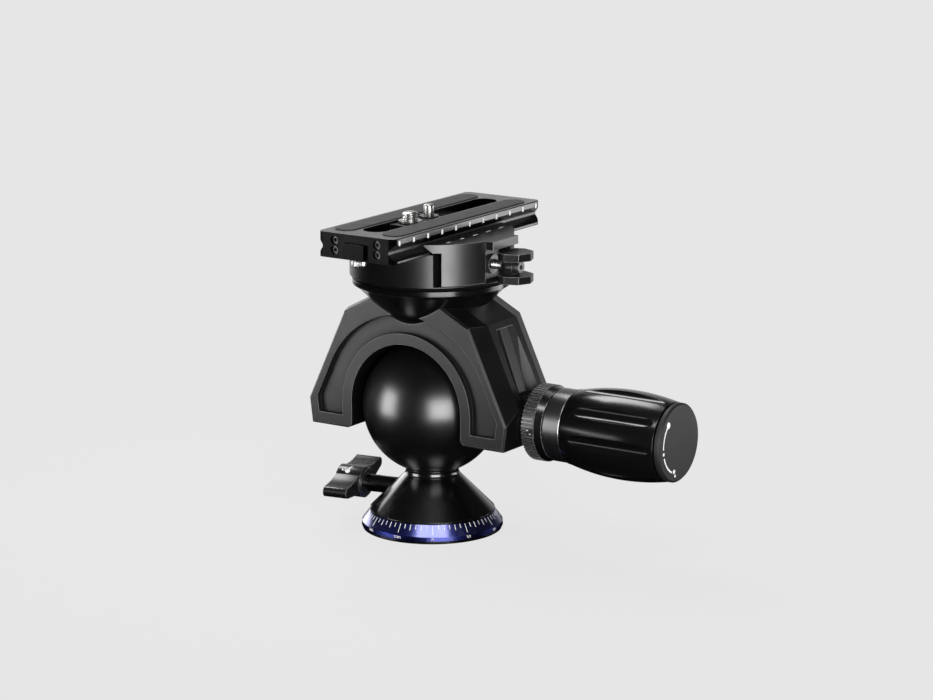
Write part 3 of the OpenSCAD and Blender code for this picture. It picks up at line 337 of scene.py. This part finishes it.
def joined(grids, wrap_u=False, wrap_v=True):
    """Points and quads of several grids of one size, one after the other."""
    grids = np.asarray(grids)
    faces = grid_faces(*grids.shape[1:3], wrap_u, wrap_v)
    steps = np.arange(len(grids)) * grids.shape[1] * grids.shape[2]
    return grids.reshape(-1, 3), (faces[None] + steps[:, None, None]).reshape(-1, 4)


def spread(x, y, z):
    """Points from their coordinates, each of them an array or one number for all."""
    return np.stack(np.broadcast_arrays(x, y, z), -1)


def polar(radius, angle, height):
    """Points about the upright axis."""
    return spread(radius * np.cos(angle), radius * np.sin(angle), height)


AROUND = 96
ANGLE = np.linspace(0, TURN, AROUND, endpoint=False)


def circle(radius):
    """Radius at each angle of a circle."""
    return np.full(AROUND, float(radius))


def hexagon(radius):
    """Radius at each angle of a hexagon with that corner radius: its flat's distance over the cosine of the
    angle from the flat's middle."""
    return radius * math.cos(TURN / 12) / np.cos(ANGLE % (TURN / 6) - TURN / 12)


def spun(rows):
    """Grid of a turned shape from rows of (radius at each angle, height), about its own Z axis."""
    radius = np.stack([row[0] for row in rows])
    height = np.array([row[1] for row in rows])[:, None]
    return polar(radius, ANGLE, height)


def spun_along_x(rows, z):
    """Grid of a turned shape about an axis along X at that height, with places on X for the rows' heights."""
    return spun(rows)[..., [2, 0, 1]] + [0, 0, z]


def rounded(radius, height, edge, steps=5):
    """Rows of a quarter round of that edge radius, from a wall of that radius up to its end at that height."""
    return [(circle(radius - edge + edge * math.cos(a)), height - edge + edge * math.sin(a))
            for a in np.linspace(0, TURN / 4, steps)]


# Thread form: the steepness of its wave, and the share of it that is cut off at root and crest
THREAD_STEEP, THREAD_CUT = 1.4, 0.2


def thread(radius, low, high, pitch, depth, per_pitch=10):
    """Rows of a screw thread: the radius dips by a flattened triangle wave of height over pitch less the turn,
    and the dip fades out over half a pitch at both ends."""
    heights = np.linspace(low, high, int((high - low) / pitch * per_pitch) + 2)
    wave = 1 - np.abs(2 * ((heights[:, None] / pitch - ANGLE / TURN) % 1) - 1)
    fade = np.clip(np.minimum(heights - low, high - heights) / (pitch / 2), 0, 1)[:, None]
    dip = depth * fade * np.clip(THREAD_STEEP * wave - THREAD_CUT, 0, 1)
    return list(zip(radius - dip, heights))


def middle_of(low, high):
    """Middle of a box on the floor plane."""
    return [*((low + high) / 2)[:2], 0]


# Turned pieces that stand for plain solids

# Screw and pin are thinner by this much below their free ends, up to this far over the flange
NECK = 0.3
NECK_RISE = 0.2

# Camera screw: head, hexagon and edge, plain end over the thread, and the crown as (radius, drop from the top)
CAMERA_THREAD = (1.27, 0.55)
CAMERA_R = 3.175
CAMERA_HEAD_H = 2.8
CAMERA_HEX_R, CAMERA_HEX_H = 2.4, 1.8
CAMERA_EDGE = 0.3
CAMERA_PLAIN = 0.75
CAMERA_CROWN = [(2.75, 0.4), (2.2, 0.12), (1.2, 0.02), (0, 0)]


def neck_top():
    """Height at which screw and pin get their full radius."""
    return corner("camera_screw_flange", 1)[2] + NECK_RISE


def camera_screw():
    """Threaded screw with a rounded crown, a rimmed head and a hexagon from below."""
    low, high = corner("camera_screw", 0), corner("camera_screw", 1)
    head_r = (high - low)[0] / 2
    foot, top = low[2], high[2]
    head_z = foot + CAMERA_HEAD_H
    hollow = hexagon(CAMERA_HEX_R)
    rows = [(circle(0), foot + CAMERA_HEX_H), (hollow, foot + CAMERA_HEX_H), (hollow, foot)]
    rows += [(circle(head_r - CAMERA_EDGE), foot), (circle(head_r), foot + CAMERA_EDGE)]
    rows += rounded(head_r, head_z, CAMERA_EDGE)
    rows += [(circle(CAMERA_R - NECK), head_z), (circle(CAMERA_R - NECK), neck_top())]
    rows += thread(CAMERA_R, neck_top(), top - CAMERA_PLAIN, *CAMERA_THREAD)
    rows += [(circle(radius), top - drop) for radius, drop in CAMERA_CROWN]
    grid = spun(rows) + middle_of(low, high)
    return piece_from("camera_screw_threaded", *joined([grid]), STEEL, SHARP_THREAD)


# Anti-twist pin: collar below, rounded end
PIN_R = 2.15
PIN_COLLAR_H = 1
PIN_COLLAR_EDGE = 0.2
PIN_END_EDGE = 0.75


def anti_twist_pin():
    """Smooth pin with a rounded end over its collar."""
    low, high = corner("anti_twist_pin", 0), corner("anti_twist_pin", 1)
    collar_r = (high - low)[0] / 2
    foot, top = low[2], high[2]
    collar_z = foot + PIN_COLLAR_H
    rows = [(circle(0), foot), (circle(collar_r), foot)] + rounded(collar_r, collar_z, PIN_COLLAR_EDGE)
    rows += [(circle(PIN_R - NECK), collar_z), (circle(PIN_R - NECK), neck_top()), (circle(PIN_R), neck_top())]
    rows += rounded(PIN_R, top, PIN_END_EDGE, steps=8) + [(circle(0), top)]
    return piece_from("anti_twist_pin_rounded", *joined([spun(rows) + middle_of(low, high)]), STEEL)


# Stop screws: head below a shank; edges are (how far inside the head's radius, how far from its end)
STOP_SHANK_R = 1.5
STOP_HEAD_H = 2.9
STOP_FLUTES = 24
STOP_FLUTE_DEPTH = 0.18
STOP_LOW_EDGE = [(0.6, 0), (0.4, 0.3)]
STOP_HIGH_EDGE = [(0.4, 0.3), (0.5, 0)]
STOP_FLUTE_ENDS = (0.6, 0.7)


def stop_screws():
    """Two stop screws: a shank, and a head below with straight flutes, a cosine of the turn, that leave its
    edges plain."""
    low, high = corner("stop_screws", 0), corner("stop_screws", 1)
    head_r = (high - low)[0] / 2
    foot, top = low[2], high[2]
    neck_z = foot + STOP_HEAD_H
    fluted = head_r - STOP_FLUTE_DEPTH + STOP_FLUTE_DEPTH * np.cos(STOP_FLUTES * ANGLE)
    rows = [(circle(0), foot)] + [(circle(head_r - inside), foot + rise) for inside, rise in STOP_LOW_EDGE]
    rows += [(fluted, foot + STOP_FLUTE_ENDS[0]), (fluted, neck_z - STOP_FLUTE_ENDS[1])]
    rows += [(circle(head_r - inside), neck_z - drop) for inside, drop in STOP_HIGH_EDGE]
    rows += [(circle(STOP_SHANK_R), neck_z), (circle(STOP_SHANK_R), top), (circle(0), top)]
    ends = [[0, low[1] + head_r, 0], [0, high[1] - head_r, 0]]
    return piece_from("stop_screws_fluted", *joined([spun(rows) + end for end in ends]), STEEL)


# Clamp screw: thread, and the hole for the cap screw
CLAMP_THREAD = (0.8, 0.35)
CLAMP_BORE_R, CLAMP_BORE_L = 1.25, 7.4


def clamp_screw():
    """Threaded screw along X, drilled at its outer end for the cap screw."""
    low, high = corner("clamp_screw", 0), corner("clamp_screw", 1)
    radius = (high - low)[2] / 2
    inner, outer = low[0], high[0]
    rows = [(circle(0), outer - CLAMP_BORE_L), (circle(CLAMP_BORE_R), outer - CLAMP_BORE_L)]
    rows += [(circle(CLAMP_BORE_R), outer)]
    rows += thread(radius, inner, outer, *CLAMP_THREAD)[::-1] + [(circle(0), inner)]
    grid = spun_along_x(rows, (low + high)[2] / 2)
    return piece_from("clamp_screw_threaded", *joined([grid]), STEEL, SHARP_THREAD)


# Tripod insert: sleeve over a flange
TRIPOD_THREAD = (1.5875, 0.75)
INSERT_MINOR = 3.97
INSERT_SLEEVE_R = 8
INSERT_FLANGE_H = 1.5
INSERT_EDGE = 0.2


def tripod_insert():
    """Flanged insert with a thread cut into its bore from the minor radius outwards."""
    low, high = corner("tripod_insert", 0), corner("tripod_insert", 1)
    flange_r = (high - low)[0] / 2
    foot, top = low[2], high[2]
    cut = thread(INSERT_MINOR, foot, top, *TRIPOD_THREAD)
    rows = [(2 * INSERT_MINOR - radius, height) for radius, height in cut]
    rows += [(circle(INSERT_SLEEVE_R), top), (circle(INSERT_SLEEVE_R), foot + INSERT_FLANGE_H)]
    rows += [(circle(flange_r), foot + INSERT_FLANGE_H), (circle(flange_r), foot + INSERT_EDGE)]
    rows += [(circle(flange_r - INSERT_EDGE), foot)]
    return piece_from("tripod_insert_threaded", *joined([spun(rows)], wrap_u=True), STEEL, SHARP_THREAD)


TURNED_PIECES = {"camera_screw": camera_screw, "anti_twist_pin": anti_twist_pin, "stop_screws": stop_screws,
                 "clamp_screw": clamp_screw, "tripod_insert": tripod_insert}
BODIES = frame["record"]["behaviour"]["bodies"]
NODE_BODY = {node: body for body, members in BODIES.items() for node in members}
for node, make in TURNED_PIECES.items():
    turned_piece = make()
    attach(turned_piece, NODE_BODY[node])
    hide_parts(node)

# Thin bright edge where the collar meets the grip: width, rise over the collar, root inside it
EDGE_W = 0.5
EDGE_RISE = 0.45
EDGE_ROOT = 0.3
EDGE_STEPS = 9


def collar_edge():
    """Ring with a half-round section: an arc of angles from side to side, turned about the handle's axis."""
    middle_x = corner("handle_grip", 0)[0] - EDGE_W / 3
    collar_r = (corner("handle_collar", 1) - corner("handle_collar", 0))[2] / 2
    rows = [(circle(collar_r + EDGE_RISE * math.sin(a)), middle_x - EDGE_W / 2 * math.cos(a))
            for a in np.linspace(0, TURN / 2, EDGE_STEPS)]
    rows += [(circle(collar_r - EDGE_ROOT), middle_x + side * EDGE_W / 2) for side in (1, -1)]
    return piece_from("collar_bright_edge", *joined([spun_along_x(rows, HANDLE_Z)], wrap_u=True), STEEL)


edge_ring = collar_edge()
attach(edge_ring, "handle")


# Printed and engraved marks
def unit(vectors):
    """Vectors brought to length 1."""
    vectors = np.asarray(vectors, float)
    return vectors / np.linalg.norm(vectors, axis=-1, keepdims=True)


def strokes(paths, normals, width):
    """Grids of flat bars: each path's points carry a rectangle of that width, across the path and its normal,
    from the root to the rise of a mark, and the ends close on their middles. Paths are (count, steps, 3), and
    normals are as many or one for all."""
    paths = np.asarray(paths, float)
    normals = unit(np.broadcast_to(normals, paths.shape))
    along = np.gradient(paths, axis=1)
    across = unit(np.cross(along, normals)) * width / 2
    low, high = -PRINT_ROOT * normals, PRINT_RISE * normals
    rings = np.stack([paths - across + low, paths + across + low,
                      paths + across + high, paths - across + high], 2)
    ends = [np.repeat(rings[:, i:i + 1].mean(2, keepdims=True), 4, 2) for i in (0, -1)]
    return np.concatenate([ends[0], rings, ends[1]], 1)


def dots(centres, normals, radii, hollow=0.0, steps=24):
    """Grids of round dots: rows from the middle below, over the rim, to the middle on top, in the plane of a
    normal. A hollow dot is a ring of that inner share."""
    centres = np.asarray(centres, float)
    normals = unit(np.broadcast_to(normals, centres.shape))
    first = unit(np.cross(normals, normals[:, [2, 0, 1]]))
    second = np.cross(normals, first)
    turn = np.linspace(0, TURN, steps, endpoint=False)[:, None]
    spokes = first[:, None] * np.cos(turn) + second[:, None] * np.sin(turn)
    rows = [(hollow, -PRINT_ROOT), (1, -PRINT_ROOT), (1, PRINT_RISE), (hollow, PRINT_RISE)]
    rim = np.asarray(radii, float)[:, None, None] * spokes
    return np.stack([centres[:, None] + share * rim + rise * normals[:, None] for share, rise in rows], 1)


def mark(name, body, *parts):
    """One painted piece from grids of marks, riding on a body. Each part is (grids, wrap_u)."""
    points, faces, count = [], [], 0
    for grids, wrap_u in parts:
        part_points, part_faces = joined(grids, wrap_u)
        points.append(part_points)
        faces.append(part_faces + count)
        count += len(part_points)
    piece = piece_from(name, np.concatenate(points), np.concatenate(faces), PAINT)
    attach(piece, body)


# Scale ring: ticks down its slope, given as (radius, height), and numbers on its band. A tick starts at one
# share of the slope and ends at the share that its step in degrees has.
SLOPE_TOP = np.array([26.5, 7.5])
SLOPE_LOW = np.array([29.8, 3.0])
SLOPE_NORMAL = np.array([4.5, 3.3])
SCALE_ZERO = math.radians(-55.6)
TICK_STEP, TICK_TEN, TICK_LONG = 5, 10, 30
TICK_START = 0.05
TICK_ENDS = {TICK_STEP: 0.38, TICK_TEN: 0.5, TICK_LONG: 0.78}
TICK_W = 0.3
BAND_R, BAND_LOW, BAND_HIGH = 29.9, 1.25, 2.85


def ring_ticks():
    """Bars straight down the slope: from the start share to the share that the tick's step has."""
    degrees = np.arange(0, 360, TICK_STEP)
    end = np.where(degrees % TICK_TEN == 0, TICK_ENDS[TICK_TEN], TICK_ENDS[TICK_STEP])
    end = np.where(degrees % TICK_LONG == 0, TICK_ENDS[TICK_LONG], end)
    angle = (SCALE_ZERO + np.radians(degrees))[:, None]
    way = TICK_START + (end[:, None] - TICK_START) * np.linspace(0, 1, BAR_STEPS)
    radius, height = (SLOPE_TOP + way[..., None] * (SLOPE_LOW - SLOPE_TOP)).transpose(2, 0, 1)
    normals = polar(SLOPE_NORMAL[0], angle + 0 * way, SLOPE_NORMAL[1])
    return strokes(polar(radius, angle, height), normals, TICK_W)


def ring_numbers():
    """Numbers bent round the band: across the text is the turn, up the text is the height, its depth is
    radial."""
    points, faces, count = [], [], 0
    for degrees in range(0, 360, TICK_LONG):
        text = bpy.data.curves.new("number", "FONT")
        text.body = str(degrees)
        text.align_x = "CENTER"
        text.extrude = (PRINT_RISE + PRINT_ROOT) / 2
        text.resolution_u = 3
        holder = bpy.data.objects.new("number", text)
        mesh = bpy.data.meshes.new_from_object(holder)
        flat = np.empty(3 * len(mesh.vertices))
        mesh.vertices.foreach_get("co", flat)
        flat = flat.reshape(-1, 3)
        scale = (BAND_HIGH - BAND_LOW) / np.ptp(flat[:, 1])
        angle = SCALE_ZERO + math.radians(degrees) + flat[:, 0] * scale / BAND_R
        height = BAND_LOW + (flat[:, 1] - flat[:, 1].min()) * scale
        points.append(polar(BAND_R + flat[:, 2] + (PRINT_RISE - PRINT_ROOT) / 2, angle, height))
        faces += [[v + count for v in face.vertices] for face in mesh.polygons]
        count += len(flat)
        bpy.data.objects.remove(holder)
        bpy.data.meshes.remove(mesh)
        bpy.data.curves.remove(text)
    return piece_from("scale_numbers", np.concatenate(points), faces, PAINT)


mark("scale_ticks", "base", (ring_ticks(), False))
numbers = ring_numbers()
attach(numbers, "base")

# Plate: ticks on its scale edge, below its top; jaw: dashes beside the plate
PLATE_TICKS = np.linspace(-51, 51, 11)
PLATE_TICK_W, PLATE_TICK_H = 1.1, 1.9
PLATE_TICK_DROP = 2.0
JAW_DASHES = np.linspace(-19.6, 19.6, 5)
JAW_DASH_L, JAW_DASH_W = 3.0, 0.8
JAW_DASH_X = 21.65


def straight_paths(middles, step):
    """Straight paths, as long as the step and along it, about each middle."""
    return middles[:, None] + np.linspace(-0.5, 0.5, BAR_STEPS)[None, :, None] * np.asarray(step, float)


plate_corner = corner("quick_plate", 1)
tick_middles = spread(plate_corner[0], PLATE_TICKS, plate_corner[2] - PLATE_TICK_DROP)
plate_ticks = straight_paths(tick_middles, (0, 0, PLATE_TICK_H))
mark("plate_ticks", "plate", (strokes(plate_ticks, OUT, PLATE_TICK_W), False))

dash_middles = spread(JAW_DASH_X, JAW_DASHES, corner("moving_jaw", 1)[2])
jaw_dashes = straight_paths(dash_middles, (0, JAW_DASH_L, 0))
mark("jaw_dashes", "jaw", (strokes(jaw_dashes, UP, JAW_DASH_W), False))

# End cap: a turning mark of two arcs between dots, its angles from the top towards the front; dots are (angle,
# place from the middle, radius)
CAP_MARK_R = 12.4
CAP_ARCS = [(50, 92), (109, 153)]
CAP_ARC_W = 0.7
CAP_ARC_STEPS = 25
CAP_DOTS = [(44, 12.4, 1.35), (100.7, 12.4, 0.7), (161.7, 11.8, 0.9), (167.7, 13.4, 0.6)]
cap_x = corner("handle_end_cap", 1)[0]


def on_cap(degrees, radius):
    """Points on the end cap's face."""
    turn = np.radians(degrees)
    return spread(cap_x, -radius * np.sin(turn), HANDLE_Z + radius * np.cos(turn))


arc_paths = np.stack([on_cap(np.linspace(*ends, CAP_ARC_STEPS), CAP_MARK_R) for ends in CAP_ARCS])
dot_turns, dot_places, dot_radii = np.array(CAP_DOTS).T
mark("cap_turning_mark", "handle", (strokes(arc_paths, OUT, CAP_ARC_W), False),
     (dots(on_cap(dot_turns, dot_places), OUT, dot_radii), False))

# Friction ring: dots on the floor of its window, as (place along X, angle from the top to the front, radius)
WINDOW_R = 15.0
WINDOW_DOTS = np.array([(57.0, 91.0, 0.45), (58.2, 98.0, 0.45)])
window_turn = np.radians(WINDOW_DOTS[:, 1])
window_out = spread(0, -np.sin(window_turn), np.cos(window_turn))
window_places = WINDOW_R * window_out + spread(WINDOW_DOTS[:, 0], 0, HANDLE_Z)
mark("window_dots", "friction_ring", (dots(window_places, window_out, WINDOW_DOTS[:, 2]), False))

# Pan lock: a dot with a pointer, and a small ring, as (place along the axis, angle from the top to the front)
LOCK_AXIS = np.array([-math.cos(LOCK_AZIMUTH), -math.sin(LOCK_AZIMUTH), 0])
LOCK_FRONT = np.array([math.sin(LOCK_AZIMUTH), -math.cos(LOCK_AZIMUTH), 0])
LOCK_OUTSIDE = 30
LOCK_DOT = (38.0, 40.0)
LOCK_DOT_R = 1.1
LOCK_POINTER = (37.2, 10.0)
LOCK_POINTER_W = 0.7
LOCK_POINTER_STEPS = 7
LOCK_RING = (40.0, 33.0)
LOCK_RING_R, LOCK_RING_HOLLOW = 0.9, 0.6


def on_lock(along, degrees):
    """Place and normal where a ray from outside towards the lock's axis meets the knob."""
    turn = math.radians(degrees)
    out = math.sin(turn) * LOCK_FRONT + math.cos(turn) * UP
    start = along * LOCK_AXIS + LOCK_Z * UP + LOCK_OUTSIDE * out
    _, place, normal, _ = nodes["pan_lock_knob"].ray_cast(Vector(start * MM), Vector(-out))
    return np.array([place / MM, normal])


pointer_way = np.linspace(LOCK_DOT, LOCK_POINTER, LOCK_POINTER_STEPS)
pointer = np.stack([on_lock(*place) for place in pointer_way], 1)
lock_dot, lock_ring = on_lock(*LOCK_DOT), on_lock(*LOCK_RING)
mark("lock_pointer", "pan_knob", (strokes(pointer[:1], pointer[1:], LOCK_POINTER_W), False),
     (dots(lock_dot[:1], lock_dot[1:], [LOCK_DOT_R]), False),
     (dots(lock_ring[:1], lock_ring[1:], [LOCK_RING_R], LOCK_RING_HOLLOW), True))


# Studio: pale floor, soft lamps and the camera
def direction(azimuth, elevation):
    """Unit vector towards an azimuth, 0 being -Y and 90 being +X, and an elevation, in degrees."""
    a, e = math.radians(azimuth), math.radians(elevation)
    return np.array([math.sin(a) * math.cos(e), -math.cos(a) * math.cos(e), math.sin(e)])


def facing(obj, azimuth, elevation, place, side=None):
    """Puts an object at a place in metres so that it looks back along a direction, upright or with a side
    given."""
    back = direction(azimuth, elevation)
    side = direction(azimuth + 90, 0) if side is None else unit(side - np.dot(side, back) * back)
    matrix = np.eye(4)
    matrix[:3, :3] = np.stack([side, np.cross(back, side), back], 1)
    matrix[:3, 3] = place
    obj.matrix_world = Matrix(matrix.tolist())
    bpy.context.scene.collection.objects.link(obj)


# Lamps stand this many metres from the ball
LAMP_DISTANCE = 1.0


def lamp(name, azimuth, elevation, size, radiance, side=None, flagged=(), only=()):
    """A soft box that faces the ball from a direction; its power follows from its size in metres and its
    brightness. Flags keep it off some pieces, as black cards do, and it can also be kept to a few."""
    data = bpy.data.lights.new(name, "AREA")
    data.shape = "RECTANGLE"
    data.size, data.size_y = size
    data.energy = radiance * math.pi * size[0] * size[1]
    obj = bpy.data.objects.new(name, data)
    facing(obj, azimuth, elevation, direction(azimuth, elevation) * LAMP_DISTANCE + HANDLE_Z * MM * UP, side)
    obj.visible_camera = False
    if flagged or only:
        linked = bpy.data.collections.new(name + "_pieces")
        for node in flagged or only:
            linked.objects.link(nodes[node])
        for member in linked.collection_objects:
            member.light_linking.link_state = "EXCLUDE" if flagged else "INCLUDE"
        obj.light_linking.receiver_collection = linked


PLATE = ["quick_plate", "front_end_block", "rear_end_block"]
CLAMP_TOP = PLATE + ["moving_jaw", "clamp_body", "crown_bowl"]
lamp("left_softbox", -43, 4, size=(0.48, 0.58), radiance=8.4, flagged=["handle_grip"] + CLAMP_TOP)
lamp("right_softbox", 48, 0, size=(0.66, 0.70), radiance=9.8, flagged=PLATE)
lamp("back_left_softbox", -115, 52, size=(0.90, 0.32), radiance=9, side=OUT)
lamp("back_right_softbox", 143, -3, size=(0.55, 0.42), radiance=4)
lamp("rear_left_fill", -112, 8, size=(0.60, 0.50), radiance=3.2)
lamp("front_strip", -35, 3, size=(0.60, 0.08), radiance=4.5, only=["handle_grip"] + PLATE)
lamp("top_softbox", 33, 57, size=(0.75, 0.16), radiance=11, flagged=["ball", "yoke"] + CLAMP_TOP)

# Paper and backdrop have one grey. In reflections only what lies behind the object, seen from the camera, is
# bright: these are the metres over which the floor, and the cosines over which the backdrop, turn bright.
BACKGROUND = linear("#e6e6e6")
AWAY = tuple(direction(CAMERA_AZIMUTH + 180, 0))
FLOOR_BRIGHT = (0.12, 0.3)
BACKDROP_BRIGHT = (0.75, 1.0)
BACKDROP_LEVEL = 0.03

# The floor's disc, and its shadow: its share, and the metres from the axis over which it fades
FLOOR_R = 300.0
FLOOR_Z = -0.02
FLOOR_STEPS = 24
SHADOW_SHARE = 0.07
SHADOW_FADE = (0.1, 0.28)


def floor_material():
    """Seamless pale paper: an even grey with a soft shadow to the camera, and in gloss only bright behind."""
    material = bpy.data.materials.new("pale_paper_floor")
    material.use_nodes = True
    tree = material.node_tree
    tree.nodes.clear()
    rays = add(tree, "ShaderNodeLightPath")
    place = add(tree, "ShaderNodeTexCoord").outputs["Object"]
    behind = add(tree, "ShaderNodeVectorMath", {0: place, 1: AWAY}, operation="DOT_PRODUCT")
    far = add(tree, "ShaderNodeMapRange", {
        "Value": behind.outputs["Value"], "From Min": FLOOR_BRIGHT[0], "From Max": FLOOR_BRIGHT[1]})
    strength = add(tree, "ShaderNodeMath", {0: rays.outputs["Is Camera Ray"], 1: far.outputs["Result"]},
                   operation="MAXIMUM")
    out = add(tree, "ShaderNodeVectorMath", {0: place}, operation="LENGTH")
    plain = add(tree, "ShaderNodeMapRange", {
        "Value": out.outputs["Value"], "From Min": SHADOW_FADE[0], "From Max": SHADOW_FADE[1],
        "To Min": 1 - SHADOW_SHARE, "To Max": 1.0})
    camera_share = add(tree, "ShaderNodeMath", {0: rays.outputs["Is Camera Ray"], 1: plain.outputs["Result"]},
                       operation="MULTIPLY")
    seen = add(tree, "ShaderNodeMath", {0: camera_share.outputs[0], 1: rays.outputs["Is Glossy Ray"]},
               operation="MAXIMUM")
    paper = add(tree, "ShaderNodeBsdfDiffuse", {"Color": BACKGROUND})
    glow = add(tree, "ShaderNodeEmission", {"Color": BACKGROUND, "Strength": strength.outputs[0]})
    shown = add(tree, "ShaderNodeMixShader", {"Fac": seen.outputs[0], 1: paper.outputs[0], 2: glow.outputs[0]})
    add(tree, "ShaderNodeOutputMaterial", {"Surface": shown.outputs[0]})
    return material


def backdrop():
    """World of the same grey to the camera, bright behind in gloss, and faint for all other light."""
    world = bpy.data.worlds.new("studio")
    bpy.context.scene.world = world
    world.use_nodes = True
    tree = world.node_tree
    tree.nodes.clear()
    rays = add(tree, "ShaderNodeLightPath")
    place = add(tree, "ShaderNodeTexCoord").outputs["Generated"]
    behind = add(tree, "ShaderNodeVectorMath", {0: place, 1: AWAY}, operation="DOT_PRODUCT")
    far = add(tree, "ShaderNodeMapRange", {
        "Value": behind.outputs["Value"], "From Min": BACKDROP_BRIGHT[0], "From Max": BACKDROP_BRIGHT[1]})
    gloss = add(tree, "ShaderNodeMath", {0: rays.outputs["Is Glossy Ray"], 1: far.outputs["Result"]},
                operation="MULTIPLY")
    seen = add(tree, "ShaderNodeMath", {0: rays.outputs["Is Camera Ray"], 1: gloss.outputs[0]},
               operation="MAXIMUM")
    level = add(tree, "ShaderNodeMapRange", {
        "Value": seen.outputs[0], "To Min": BACKDROP_LEVEL, "To Max": 1.0})
    sky = add(tree, "ShaderNodeBackground", {"Color": BACKGROUND, "Strength": level.outputs["Result"]})
    add(tree, "ShaderNodeOutputWorld", {"Surface": sky.outputs[0]})


floor_radius, floor_turn = np.meshgrid(np.linspace(0, FLOOR_R, FLOOR_STEPS), ANGLE, indexing="ij")
floor = piece_from("floor", *joined([polar(floor_radius, floor_turn, FLOOR_Z)]), floor_material())
backdrop()

camera = bpy.data.objects.new("camera", bpy.data.cameras.new("camera"))
camera.data.lens = CAMERA_LENS
camera.data.sensor_width = SENSOR
camera.data.sensor_fit = "HORIZONTAL"
facing(camera, CAMERA_AZIMUTH, CAMERA_ELEVATION, np.array(CAMERA_PLACE) * MM)
bpy.context.scene.camera = camera
bpy.context.scene.view_settings.view_transform = "Standard"
